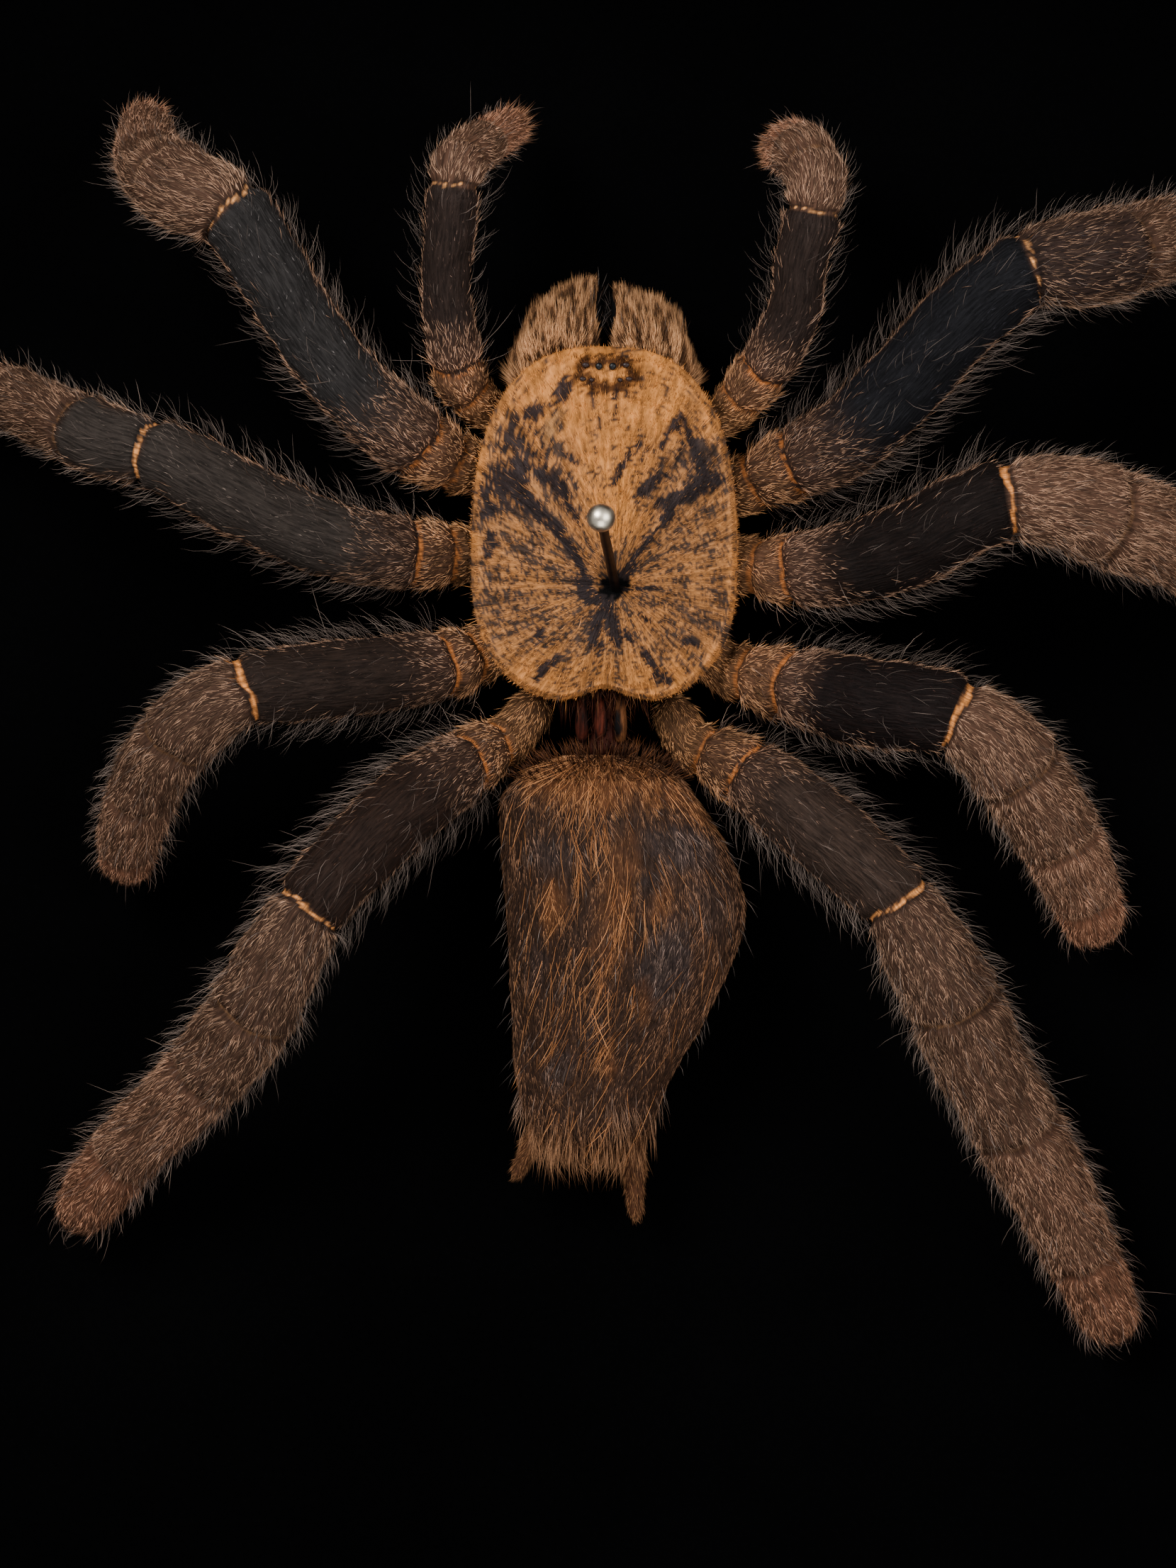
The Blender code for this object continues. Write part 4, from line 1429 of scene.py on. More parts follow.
# Middle line of each limb: x, y, height over the board, width over the fur
LIMB_STATIONS = {
    "palp_left": (
        (-6.9, 21.7, 4.9, 3.0), (-9.8, 22.6, 5.5, 3.5), (-11.8, 24.5, 7.0, 4.2),
        (-12.5, 27.0, 8.6, 4.3), (-13.0, 31.5, 11.0, 4.0), (-12.7, 35.0, 12.6, 4.2),
        (-12.4, 38.0, 13.4, 4.2), (-11.9, 40.0, 12.7, 4.3), (-10.5, 41.3, 9.9, 4.1),
        (-8.9, 42.6, 6.6, 3.4), (-7.9, 43.5, 4.9, 2.6),
    ),
    "palp_right": (
        (3.2, 21.2, 4.9, 3.2), (6.4, 22.2, 5.5, 3.6), (8.3, 24.2, 7.0, 4.2),
        (10.0, 26.4, 8.6, 4.5), (11.5, 29.5, 10.8, 4.3), (12.0, 33.0, 12.6, 4.3),
        (12.8, 36.2, 13.4, 4.5), (12.9, 39.0, 12.8, 4.9), (11.8, 40.9, 9.8, 4.8),
        (10.4, 41.3, 5.6, 3.4),
    ),
    "leg_1_left": (
        (-7.6, 17.6, 5.0, 3.8), (-10.6, 18.6, 5.3, 4.2), (-13.2, 19.3, 6.7, 5.2),
        (-15.8, 20.9, 8.4, 6.0), (-19.5, 24.0, 10.8, 5.7), (-23.0, 28.5, 13.2, 5.6),
        (-25.4, 32.5, 15.2, 5.7), (-28.0, 36.2, 16.4, 5.9), (-31.4, 37.9, 15.2, 6.6),
        (-33.7, 39.9, 10.6, 5.7), (-34.4, 42.6, 5.4, 4.5), (-34.1, 44.2, 3.2, 3.6),
    ),
    "leg_1_right": (
        (4.4, 16.5, 5.0, 3.8), (7.0, 17.0, 5.4, 4.4), (9.8, 18.2, 6.9, 5.2),
        (13.0, 19.5, 8.7, 6.0), (16.0, 21.3, 10.4, 6.2), (19.0, 24.2, 12.3, 6.2),
        (22.0, 27.5, 14.2, 6.2), (25.0, 30.3, 15.7, 6.2), (27.8, 32.2, 16.3, 6.0),
        (31.5, 32.8, 15.8, 7.2), (35.5, 33.8, 13.7, 6.7), (39.0, 34.8, 11.0, 6.2),
        (43.0, 35.0, 7.8, 5.4), (47.0, 34.2, 4.8, 4.8), (50.4, 33.0, 2.9, 4.2),
    ),
    "leg_2_left": (
        (-7.6, 12.4, 5.0, 3.9), (-10.7, 12.5, 5.3, 4.4), (-13.5, 12.5, 6.8, 5.1),
        (-16.5, 12.6, 8.4, 5.7), (-19.5, 13.0, 10.2, 5.8), (-23.5, 14.3, 12.2, 5.9),
        (-27.5, 16.3, 14.2, 5.9), (-31.0, 18.2, 15.6, 5.7), (-33.8, 19.5, 16.0, 5.3),
        (-37.0, 20.3, 15.0, 5.8), (-40.6, 22.0, 12.4, 5.4), (-44.5, 23.8, 9.0, 4.8),
        (-48.4, 25.0, 5.4, 4.4), (-52.0, 25.6, 2.8, 4.0),
    ),
    "leg_2_right": (
        (4.1, 12.2, 5.0, 3.9), (7.2, 12.0, 5.4, 4.4), (9.9, 11.4, 6.6, 5.1),
        (13.0, 11.5, 8.2, 6.0), (16.5, 12.0, 10.2, 6.4), (20.0, 13.2, 12.2, 6.6),
        (23.2, 14.9, 14.0, 6.4), (26.5, 16.1, 15.0, 6.2), (30.5, 15.8, 14.8, 7.3),
        (34.5, 14.6, 13.0, 7.6), (38.5, 13.2, 10.6, 7.2), (42.5, 11.4, 7.8, 6.2),
        (46.0, 9.0, 5.2, 5.2), (49.0, 6.2, 3.0, 4.3),
    ),
    "leg_3_left": (
        (-7.4, 7.6, 5.0, 3.9), (-9.8, 5.9, 5.4, 4.3), (-12.2, 4.9, 6.7, 5.1),
        (-15.0, 4.3, 8.4, 5.7), (-19.0, 3.8, 11.0, 5.9), (-23.0, 3.3, 13.2, 5.9),
        (-26.8, 2.8, 14.5, 5.6), (-30.2, 1.0, 14.0, 6.1), (-32.8, -1.7, 12.0, 6.0),
        (-34.5, -4.6, 9.2, 5.7), (-35.5, -7.5, 6.2, 5.1), (-35.9, -10.3, 3.2, 4.4),
    ),
    "leg_3_right": (
        (4.0, 7.2, 5.0, 3.9), (6.6, 4.6, 5.4, 4.2), (9.4, 3.7, 6.7, 5.2),
        (13.0, 2.8, 8.8, 6.3), (16.5, 2.0, 11.0, 6.8), (20.0, 1.5, 13.0, 6.6),
        (22.8, 1.0, 14.0, 6.1), (25.6, -1.0, 13.6, 6.9), (28.0, -4.0, 11.8, 7.0),
        (30.2, -7.5, 9.3, 6.5), (32.0, -11.0, 6.4, 5.8), (33.4, -14.9, 3.2, 4.7),
    ),
    "leg_4_left": (
        (-6.3, 2.6, 5.0, 3.8), (-8.4, -0.3, 5.6, 4.0), (-10.6, -1.7, 7.3, 5.0),
        (-13.5, -3.6, 9.6, 6.0), (-16.5, -6.0, 12.0, 6.1), (-19.5, -9.0, 13.8, 6.0),
        (-22.5, -12.5, 15.0, 5.8), (-24.8, -16.5, 14.5, 6.6), (-27.0, -20.4, 12.8, 6.9),
        (-29.3, -23.4, 11.0, 6.5), (-32.2, -26.4, 9.0, 5.9), (-35.4, -29.5, 6.6, 5.6),
        (-38.0, -32.7, 4.4, 5.2), (-39.9, -35.4, 2.8, 4.2),
    ),
    "leg_4_right": (
        (2.6, 2.4, 5.0, 3.8), (4.1, -0.6, 5.6, 3.9), (6.7, -2.1, 7.2, 5.0),
        (10.0, -4.2, 9.6, 6.0), (13.0, -6.7, 12.0, 6.2), (16.0, -9.3, 13.8, 6.0),
        (18.6, -12.0, 15.0, 5.8), (21.0, -16.0, 14.5, 7.0), (23.0, -20.0, 13.1, 7.3),
        (25.0, -24.0, 11.5, 7.1), (27.5, -28.5, 9.4, 6.8), (30.0, -33.0, 7.2, 6.4),
        (32.2, -37.5, 5.0, 5.8), (35.0, -43.4, 2.8, 4.5),
    ),
}

SPINNERET_STATIONS = {
    "spinneret_left": (
        (-5.6, -26.6, 5.2, 2.0), (-6.7, -28.9, 4.7, 1.9), (-7.5, -30.4, 4.3, 1.6), (-8.2, -31.8, 3.9, 1.1)
    ),
    "spinneret_right": (
        (-0.3, -26.6, 5.4, 2.2), (0.1, -29.6, 4.8, 2.1), (0.3, -32.2, 4.3, 1.8), (0.4, -34.8, 3.9, 1.1)
    ),
}


# Carapace


@dataclass(frozen=True)
class Mark:
    """A soft-edged oval mark: its middle, half length, half breadth, turn in degrees and strength."""

    x: float
    y: float
    reach: float
    breadth: float
    turn: float
    strength: float


def marked(marks: tuple[Mark, ...], x: Array, y: Array, ragged: Array) -> Array:
    """Adds up marks at places seen from above.

    Inside a mark the value is its strength, and it falls off between 0.35 and 1.9 of the oval's
    squared radius. Ragged is noise about zero that breaks up the edge.

    Args:
        marks: The marks.
        x: Places to the side.
        y: Places along the body.
        ragged: Noise that makes the marks' edges uneven.

    Returns:
        Their strength at each place, from 0 to 1.
    """
    left = np.ones_like(x)
    for mark in marks:
        turn = math.radians(mark.turn)
        along = (x - mark.x) * math.cos(turn) + (y - mark.y) * math.sin(turn)
        across = -(x - mark.x) * math.sin(turn) + (y - mark.y) * math.cos(turn)
        oval = (along / mark.reach) ** 2 + (across / mark.breadth) ** 2 + ragged
        left *= 1 - mark.strength * (1 - rise(0.35, 1.9, oval))
    return 1 - left


CARAPACE_DARK = (
    Mark(-5.0, 23.5, 1.25, 0.55, 60, 0.95), Mark(-6.7, 22.5, 0.9, 0.5, 30, 0.6),
    Mark(-8.3, 17.3, 1.3, 0.8, -35, 0.8), Mark(-7.3, 16.1, 2.0, 0.55, -48, 0.85),
    Mark(-9.9, 13.1, 0.9, 0.45, 80, 0.75), Mark(-10.1, 15.4, 0.6, 0.5, 60, 0.6),
    Mark(-6.3, 17.9, 0.9, 0.3, -50, 0.6), Mark(-5.1, 17.2, 1.0, 0.35, -50, 0.8),
    Mark(-4.2, 19.0, 0.9, 0.24, -55, 0.65), Mark(-4.6, 16.3, 2.4, 0.18, -60, 0.7),
    Mark(-5.4, 14.2, 1.8, 0.22, -55, 0.6), Mark(-4.1, 12.6, 2.4, 0.28, -60, 0.7),
    Mark(-3.2, 9.9, 1.0, 0.5, -70, 0.85), Mark(-1.1, 10.2, 0.95, 0.7, 30, 1.0),
    Mark(-1.8, 9.4, 0.9, 0.45, 20, 0.95), Mark(-1.7, 8.5, 0.7, 0.45, 90, 0.95),
    Mark(-2.45, 7.0, 1.2, 0.36, 75, 0.9), Mark(-1.15, 7.1, 1.2, 0.42, 105, 0.95),
    Mark(-2.2, 5.7, 0.5, 0.35, 90, 0.5), Mark(-0.1, 6.5, 0.7, 0.3, -50, 0.55),
    Mark(-5.9, 4.4, 1.2, 0.32, 45, 0.8), Mark(1.3, 5.0, 1.0, 0.28, -60, 0.75),
    Mark(2.2, 3.7, 0.8, 0.34, -25, 0.6), Mark(4.3, 6.2, 0.6, 0.25, -15, 0.5),
    Mark(-6.5, 6.6, 0.8, 0.3, 80, 0.45), Mark(4.2, 16.7, 2.3, 0.5, 21, 0.95),
    Mark(5.5, 17.5, 1.0, 0.55, 10, 0.85), Mark(2.6, 15.3, 0.8, 0.45, 65, 0.75),
    Mark(3.3, 21.6, 0.8, 0.4, 60, 0.8), Mark(2.5, 20.8, 1.1, 0.24, 70, 0.6),
    Mark(4.2, 20.6, 1.2, 0.28, -65, 0.65), Mark(4.9, 18.6, 1.3, 0.32, -70, 0.5),
    Mark(-0.85, 18.0, 0.9, 0.32, 65, 0.85), Mark(0.1, 19.4, 0.8, 0.32, 50, 0.8),
    Mark(0.7, 18.9, 1.0, 0.22, 60, 0.65), Mark(0.9, 16.8, 0.8, 0.32, 30, 0.65),
    Mark(1.9, 17.6, 0.8, 0.3, 20, 0.55), Mark(-2.5, 22.6, 1.3, 0.13, -75, 0.8),
    Mark(-1.15, 22.8, 1.2, 0.13, 95, 0.8), Mark(-0.7, 23.5, 0.7, 0.3, 20, 0.6),
    Mark(-0.6, 20.6, 1.1, 0.13, 60, 0.5), Mark(-2.5, 19.4, 0.5, 0.16, 90, 0.5),
    Mark(-2.5, 18.4, 0.5, 0.16, 90, 0.5), Mark(0.9, 12.9, 1.9, 0.16, 50, 0.7),
    Mark(0.7, 9.95, 1.4, 0.14, 3, 0.65), Mark(-0.2, 11.2, 0.7, 0.35, 50, 0.75),
    Mark(3.1, 11.3, 0.8, 0.25, 0, 0.15), Mark(0.9, 7.9, 0.7, 0.22, -45, 0.45),
    Mark(-7.5, 9.6, 0.9, 0.4, 20, 0.1), Mark(-5.6, 11.6, 0.9, 0.3, -40, 0.1),
    Mark(-7.6, 19.8, 2.4, 1.9, 75, 0.32), Mark(4.4, 19.3, 1.7, 1.5, 90, 0.2),
    Mark(-8.9, 17.0, 1.7, 1.5, 90, 0.28), Mark(-7.6, 9.5, 3.6, 2.6, 90, 0.1),
    Mark(-10.2, 17.2, 0.8, 0.5, 80, 0.7), Mark(-10.2, 9.8, 1.2, 0.5, 80, 0.1),
    Mark(-4.6, 17.0, 2.2, 1.0, -55, 0.2), Mark(1.2, 18.2, 1.7, 1.0, 60, 0.15),
    Mark(-2.0, 7.6, 1.7, 1.1, 90, 0.2), Mark(4.6, 9.0, 2.0, 1.5, 20, 0.04),
    Mark(3.4, 12.6, 2.6, 0.5, 22, 0.1), Mark(-5.6, 22.4, 1.7, 1.2, 60, 0.2),
)
CARAPACE_PALE = (Mark(-5.4, 21.5, 1.0, 0.65, 60, 0.8), Mark(-5.9, 20.6, 0.6, 0.5, 60, 0.6))


@dataclass
class ProsomaForm(Form):
    """The carapace and breast, as the solid has them, with finer relief on the back.

    From above the edge is a superellipse about the body's middle. For u up to top the surface runs
    straight out from the fovea to the edge under a low dome, and beyond it turns under to the breast.
    """

    middle: Span = (MIDDLE_X, 12.0)
    fovea: Span = (-1.1, 10.2)
    half_width: float = 9.4
    front_reach: float = 15.0
    rear_reach: float = 10.25
    power: float = 2.6
    notch: float = 1.2
    margin_side: float = 9.3
    margin_rise: float = 1.5
    dome: float = 2.7
    head: float = 1.3
    pit: float = 1.0
    stria: float = 0.34
    mound: Triple = (-1.75, 25.0, 12.5)
    mound_half: Triple = (2.2, 1.45, 0.95)
    top: float = 0.72
    under: tuple[tuple[float, float], ...] = (
        (1.0, 0.0), (0.985, -0.35), (0.96, -0.75), (0.80, -1.05), (0.66, -1.45)
    )
    breast: tuple[tuple[float, float], ...] = (
        (0.58, 6.2), (0.52, 3.7), (0.40, 2.5), (0.22, 2.15), (0.0, 2.1)
    )

    def edge(self, turn: Array) -> Array:
        """Gives the edge seen from above, in a direction from the body's middle.

        Args:
            turn: Directions in radians.

        Returns:
            Points of the edge, as x and y in millimetres.
        """
        along, across = np.sin(turn), np.cos(turn)
        reach = np.where(along > 0, self.front_reach, self.rear_reach)
        sides = np.abs(across / self.half_width) ** self.power
        ends = np.abs(along / reach) ** self.power
        radius = (sides + ends) ** (-1 / self.power)
        radius -= np.where(along < 0, self.notch * bell(across, 0.22), 0.0)
        return np.array(self.middle) + np.stack([across, along], axis=1) * radius[:, None]

    def margin(self, turn: Array) -> Array:
        """Gives the height of the edge, which rises to the front."""
        return self.margin_side + self.margin_rise * np.maximum(0.0, np.sin(turn)) ** 2

    def back(self, share: Array, turn: Array, x: Array, y: Array) -> Array:
        """Gives the height of the back: dome, head, pit, furrows, eye mound and fine lumps.

        Args:
            share: How far out each place lies, from 0 in the middle to 1 at the edge.
            turn: Directions in radians.
            x: Places to the side.
            y: Places along the body.

        Returns:
            Heights over the board in millimetres.
        """
        dome = self.dome * (1 - share**2.6)
        head_line = np.maximum(0.0, np.sin(turn)) ** 6
        head = self.head * head_line * np.sin(math.pi * np.minimum(1.0, share * 0.95)) ** 0.7
        pit = self.pit * bell(share, 0.11)
        groove = np.maximum(0.0, np.cos(8 * (turn - math.pi / 2))) ** 2
        stria = self.stria * (1 - groove) * np.sin(math.pi * share)
        neck = 0.3 * bell(np.abs(turn - math.pi / 2) - 0.62, 0.09) * np.sin(math.pi * share) ** 0.5
        rim = 0.16 * bell(share - 0.955, 0.022)
        places = flat(x, y)
        lumps = 0.22 * (cloud(places / 1.4, 3) - 0.5) + 0.1 * (cloud(places / 0.55, 4) - 0.5)
        height = self.margin(turn) + dome + head - pit - stria - neck + rim + lumps * np.minimum(1, 4 * share)
        (middle_x, middle_y, foot), (half_x, half_y, rise_by) = self.mound, self.mound_half
        from_mound = ((x - middle_x) / half_x) ** 2 + ((y - middle_y) / half_y) ** 2
        mound = foot + rise_by * np.sqrt(np.maximum(0.0, 1 - from_mound))
        return np.maximum(height, height * 0.35 + 0.65 * mound * (from_mound < 1))

    def place(self, u: Array, v: Array) -> Array:
        """Gives points of the body: over the back to the edge, then under it to the breast."""
        turn = TURN * v
        edge = self.edge(turn)
        share = np.clip(u / self.top, 0, 1)
        over = np.array(self.fovea) * (1 - share)[:, None] + edge * share[:, None]
        height = self.back(share, turn, over[:, 0], over[:, 1])
        rows = np.array(self.under + self.breast)
        position = np.clip((u - self.top) / (1 - self.top), 0, 1) * (len(rows) - 1)
        low = curve_through(rows, position)
        size = np.where(low[:, 0] < 0.7, 1 + 0.13 * np.maximum(0.0, -np.sin(turn)) ** 2, 1.0) * low[:, 0]
        beneath = np.array(self.middle) * (1 - size)[:, None] + edge * size[:, None]
        hung = np.where(position < len(self.under) - 0.5, self.margin(turn) + low[:, 1], low[:, 1])
        is_top = u <= self.top
        seen = np.where(is_top[:, None], over, beneath)
        level = np.where(is_top, height, hung) + BOARD_FACE
        return np.concatenate([seen, level[:, None]], axis=1)

    def levels(self, rows: int) -> Array:
        """Spends five sixths of the rings on the back."""
        upper = int(rows * 5 / 6)
        return np.concatenate(
            [np.linspace(0, self.top, upper + 1)[1:], np.linspace(self.top, 1.0, rows - upper + 1)[1:-1]]
        )

    def grown(self, u: Array, v: Array) -> Array:
        """Gives places for streaks that radiate: the distance out, then the direction."""
        place = self.place(u, v)
        out = place[:, :2] - np.array(self.fovea)
        away = np.linalg.norm(out, axis=1)
        return np.stack([away, *(6.0 * unit(out)).T], axis=1)


@dataclass
class Ball(Form):
    """An oval ball about a centre, with half its width, depth and height."""

    centre: Triple
    half: Triple

    def place(self, u: Array, v: Array) -> Array:
        """Gives points of the ball, from its foot to its crown."""
        polar, turn = math.pi * u, TURN * v
        ball = np.stack([np.sin(polar) * np.cos(turn), np.sin(polar) * np.sin(turn), -np.cos(polar)], axis=1)
        return ball * self.half + self.centre


@dataclass
class Carapace:
    """The furred carapace with its dark marks, and the eyes on their mound."""

    form: ProsomaForm = field(default_factory=ProsomaForm)

    # One row for each pair of eyes: to the side and ahead of the mound's middle, half width and half depth
    EYES = (
        (0.48, 0.52, 0.30, 0.30),
        (1.42, 0.62, 0.32, 0.22),
        (1.62, -0.36, 0.30, 0.20),
        (1.00, -0.44, 0.22, 0.18),
    )

    def streaks(self, x: Array, y: Array, narrow: float, seed: int) -> Array:
        """Makes noise that radiates from the fovea.

        Args:
            x: Places to the side.
            y: Places along the body.
            narrow: How many streaks there are to a radian.
            seed: Chooses the pattern.

        Returns:
            One number from 0 to 1 for each place.
        """
        out = np.stack([x, y], axis=1) - np.array(self.form.fovea)
        away = np.linalg.norm(out, axis=1)
        return cloud(np.concatenate([narrow * unit(out), (away / 1.5)[:, None]], axis=1), seed)

    def darkness(self, x: Array, y: Array, bright: Array) -> tuple[Array, Array]:
        """Says where dark hairs stand among the gold, and how black rather than brown they are.

        The share of dark hairs is small on the bright head and near a half behind it, higher between
        the rays that spread from the fovea, and near one inside the marks.

        Args:
            x: Places to the side.
            y: Places along the body.
            bright: How bright the gold is at each place.

        Returns:
            How dark each place is, and how black that dark is.
        """
        places = flat(x, y)
        grain = 0.4 * self.streaks(x, y, 38.0, 21) + 0.6 * cloud(places / 0.14, 3)
        inside = marked(CARAPACE_DARK, x, y, 0.7 * (grain - 0.5))
        rays = (self.streaks(x, y, 13.0, 4) - 0.5) * (1 - 0.6 * bright)
        level = 0.49 - 0.2 * bright + 0.25 * rays + 0.5 * inside
        return rise(-0.08, 0.08, level - grain), rise(0.03, 0.4, inside)

    def brightness(self, x: Array, y: Array) -> Array:
        """Says where the gold is brightest: the head, the wedge behind it, the rim and the rear edge.

        Args:
            x: Places to the side.
            y: Places along the body.

        Returns:
            Shares from 0 to 1.
        """
        wedge = bell(x + 1.4, 0.7 + 0.24 * np.maximum(0.0, y - 10)) * rise(11, 15, y)
        front = rise(18.5, 22.5, y) * (1 - 0.4 * rise(4, 7, np.abs(x - MIDDLE_X)))
        turn = np.arctan2((y - self.form.middle[1]), (x - self.form.middle[0]))
        edge = np.linalg.norm(self.form.edge(turn) - np.array(self.form.middle), axis=1)
        away = np.hypot(x - self.form.middle[0], y - self.form.middle[1])
        rim = rise(0.9, 0.97, away / edge) * rise(0.35, 0.7, cloud(flat(x, y) / 1.7, 17))
        rear = 0.6 * rise(6.5, 3.0, y)
        return np.clip(np.max([wedge, front, 0.6 * rim, rear], axis=0), 0, 1)

    def pit(self, x: Array, y: Array, ragged: Array) -> Array:
        """Says how deep in the pit round the pin each place lies, which is painted nearly black: the bare
        skin's own dark and painted shade in the pit.
        """
        away = np.hypot(x - self.form.fovea[0] + 0.1, (y - self.form.fovea[1] + 0.1) / 0.8)
        return 1 - rise(0.7, 1.25, away + ragged)

    def tones(self, x: Array, y: Array) -> Array:
        """Paints the back at places seen from above.

        Args:
            x: Places to the side.
            y: Places along the body.

        Returns:
            One colour for each place.
        """
        places = flat(x, y)
        fine = cloud(places / 0.22, 15)
        patches = cloud(places / 1.1, 12)
        bright = np.clip(0.12 + 0.88 * self.brightness(x, y) + 0.5 * (patches - 0.5), 0, 1)
        dark, black = self.darkness(x, y, bright)
        tone = mix(GOLD_DEEP, GOLD, bright)
        tone = mix(tone, TAN * 0.7, marked(CARAPACE_PALE, x, y, 2.0 * (fine - 0.5)))
        tone = mix(tone, mix(SOOT, SLATE, black), 0.95 * dark)
        # Painted shade and bare dark skin: the pit round the pin is painted nearly black.
        tone = mix(tone, NIGHT * 0.2, self.pit(x, y, 0.9 * (fine - 0.5)))
        mound = self.form.mound
        ring = ((x - mound[0]) / 2.35) ** 2 + ((y - mound[1]) / 1.5) ** 2 + 1.2 * (fine - 0.5)
        core = ((x - mound[0]) / 1.25) ** 2 + ((y - mound[1] + 0.05) / 0.6) ** 2 + 2.0 * (fine - 0.5)
        return mix(tone, BLOOD * 0.4, 0.9 * (1 - rise(0.75, 1.25, ring)) * rise(0.5, 1.2, core))

    def skin_tones(self, points: Array, u: Array, _: Array) -> Array:
        """Paints the skin: the back's tones darkened, and plain brown beneath.

        Args:
            points: The skin's points.
            u: Places along the form.

        Returns:
            One colour for each point.
        """
        top = self.form.top
        back = self.tones(points[:, 0], points[:, 1]) * 0.5
        return mix(back, SKIN_BROWN, rise(top - 0.005, top + 0.06, u))

    def build(self, finishes: Finishes) -> None:
        """Builds the body's skin, its hair and the eyes.

        Args:
            finishes: The materials.
        """
        top = self.form.top
        skin_piece(
            "prosoma_skin", self.form, (96, 220), self.skin_tones, finishes.skin, ("prosoma",)
        )
        settle = (-0.1, 0.7)
        coats = [
            self.fur(11, 36000, 0.08, top, Growth((0.22, 0.48), (8, 26), settle, (0.055, 0.095))),
            self.fur(12, 3600, top * 0.975, top + 0.05, Growth((0.2, 0.45), (-6, 14), settle, (0.05, 0.08))),
            self.fur(13, 600, 0.12, top, Growth((0.8, 1.5), (30, 65), settle, (0.035, 0.06), 2)),
            self.rear_tufts(),
        ]
        hair_piece("carapace_hair", coats, finishes.hair)
        self.eyes(finishes)

    def fur(self, seed: int, count: int, low: float, high: float, growth: Growth) -> Hairs:
        """Grows hairs that lie outwards from the fovea on the back, between two values of u.

        Args:
            seed: Chooses the pattern.
            count: How many hairs are wanted.
            low: The least u.
            high: The greatest u.
            growth: How the hairs grow.

        Returns:
            The hairs.
        """
        rng = np.random.default_rng(seed)
        u, v = self.form.scatter(count, rng, low, high)
        spots = self.form.frames(u, v)
        keep = self.pit(spots[0][:, 0], spots[0][:, 1], rng.normal(0, 0.15, len(u))) < 0.6
        spots = chosen(spots, keep)
        middle = spots[0] + 0.12 * spots[1] + rng.normal(0, 0.11, spots[0].shape)
        chance = rng.uniform(0, 1, len(middle))
        tone = mix(self.tones(middle[:, 0], middle[:, 1]), GOLD_DEEP, 0.8 * (chance < 0.08))
        tone = mix(tone, UMBER, 0.8 * (chance > 0.91))
        return growth.grow(rng, spots, tone * 0.62, tone * 1.12)

    def rear_tufts(self) -> Hairs:
        """Grows the dark reddish tufts that hang back from under the rear edge.

        Returns:
            The hairs.
        """
        rng = np.random.default_rng(14)
        u, v = self.form.scatter(9000, rng, self.form.top + 0.01, self.form.top + 0.2)
        place = self.form.place(u, v)
        place = place[(place[:, 1] < 5.0) & (np.abs(place[:, 0] - MIDDLE_X) < 3.2)]
        backwards, upwards = (np.tile([way], (len(place), 1)) for way in ((0.0, -1.0, 0.0), (0.0, 0.0, 1.0)))
        tip = mix(BLOOD, RUST, rng.uniform(0, 1, len(place)) ** 2) * 0.55
        growth = Growth((1.0, 3.0), (-20, 20), (0.2, 1.6), (0.05, 0.08), 2, 0.25, 0.35)
        return growth.grow(rng, (place, backwards, upwards), SKIN_BROWN * 0.5, tip)

    def eyes(self, finishes: Finishes) -> None:
        """Sets eight eyes as oval balls, sunk in the mound: two black ones in front and six brown ones.

        Args:
            finishes: The materials.
        """
        mound, half = self.form.mound, self.form.mound_half
        balls = []
        for number, (across, along, wide, deep) in enumerate(self.EYES):
            on_mound = math.sqrt(max(0.0, 1 - (across / half[0]) ** 2 - (along / half[1]) ** 2))
            height = mound[2] + 0.8 * half[2] * on_mound - 0.1 + BOARD_FACE
            for side in (-1, 1):
                centre = (mound[0] + side * across, mound[1] + along, height)
                points, _, _, quads, triangles = Ball(centre, (0.85 * wide, 0.85 * deep, 0.16)).skin(12, 14)
                tone = NIGHT if number == 0 else srgb(42, 28, 24)
                balls.append((points, np.tile(tone, (len(points), 1)), quads, triangles))
        add_piece("eyes", joined_mesh("eyes", balls), finishes.horn)


# Jaws


@dataclass
class CheliceraForm(Form):
    """One jaw: flat against its twin, round outside, falling away in front to the fang."""

    side: int
    inner: float = 0.25
    front: float = 32.3
    back: float = 22.6
    outer: float = 6.75
    widest: float = 25.2
    power: float = 1.8
    pile: float = 0.22

    def place(self, u: Array, v: Array) -> Array:
        """Gives points of the jaw: a rounded section whose width, top and bottom change forwards."""
        ahead = (1 - np.cos(math.pi * u)) / 2
        y = self.back + (self.front - self.back - self.pile) * ahead
        closing = np.clip((y - self.widest) / (self.front - self.pile - self.widest), 0, 1)
        opening = np.clip((self.widest - y) / (self.widest - self.back), 0, 1)
        swell = (1 - closing**self.power) ** (1 / self.power) * np.sqrt(np.maximum(0.0, 1 - opening**2))
        outer = self.inner + (self.outer - self.inner) * swell
        top = 9.4 + 2.3 * rise(25.4, 28.8, y) - 4.2 * closing**2.4
        bottom = 3.0 + 2.6 * closing**3 + 2.0 * opening**2
        half_x = np.maximum((outer - self.inner - self.pile) / 2, 0.0)
        half_z = np.maximum((top - bottom) / 2 * np.sin(math.pi * u) ** 0.35 - self.pile * 0.9, 0.0)
        across, up = circle(TURN * v).T
        round_x, round_z = (np.sign(way) * np.abs(way) ** 0.8 for way in (across, up))
        x = MIDDLE_X + self.side * (self.inner + half_x * (1 + round_x))
        return np.stack([x, y, (top + bottom) / 2 + half_z * round_z + BOARD_FACE], axis=1)


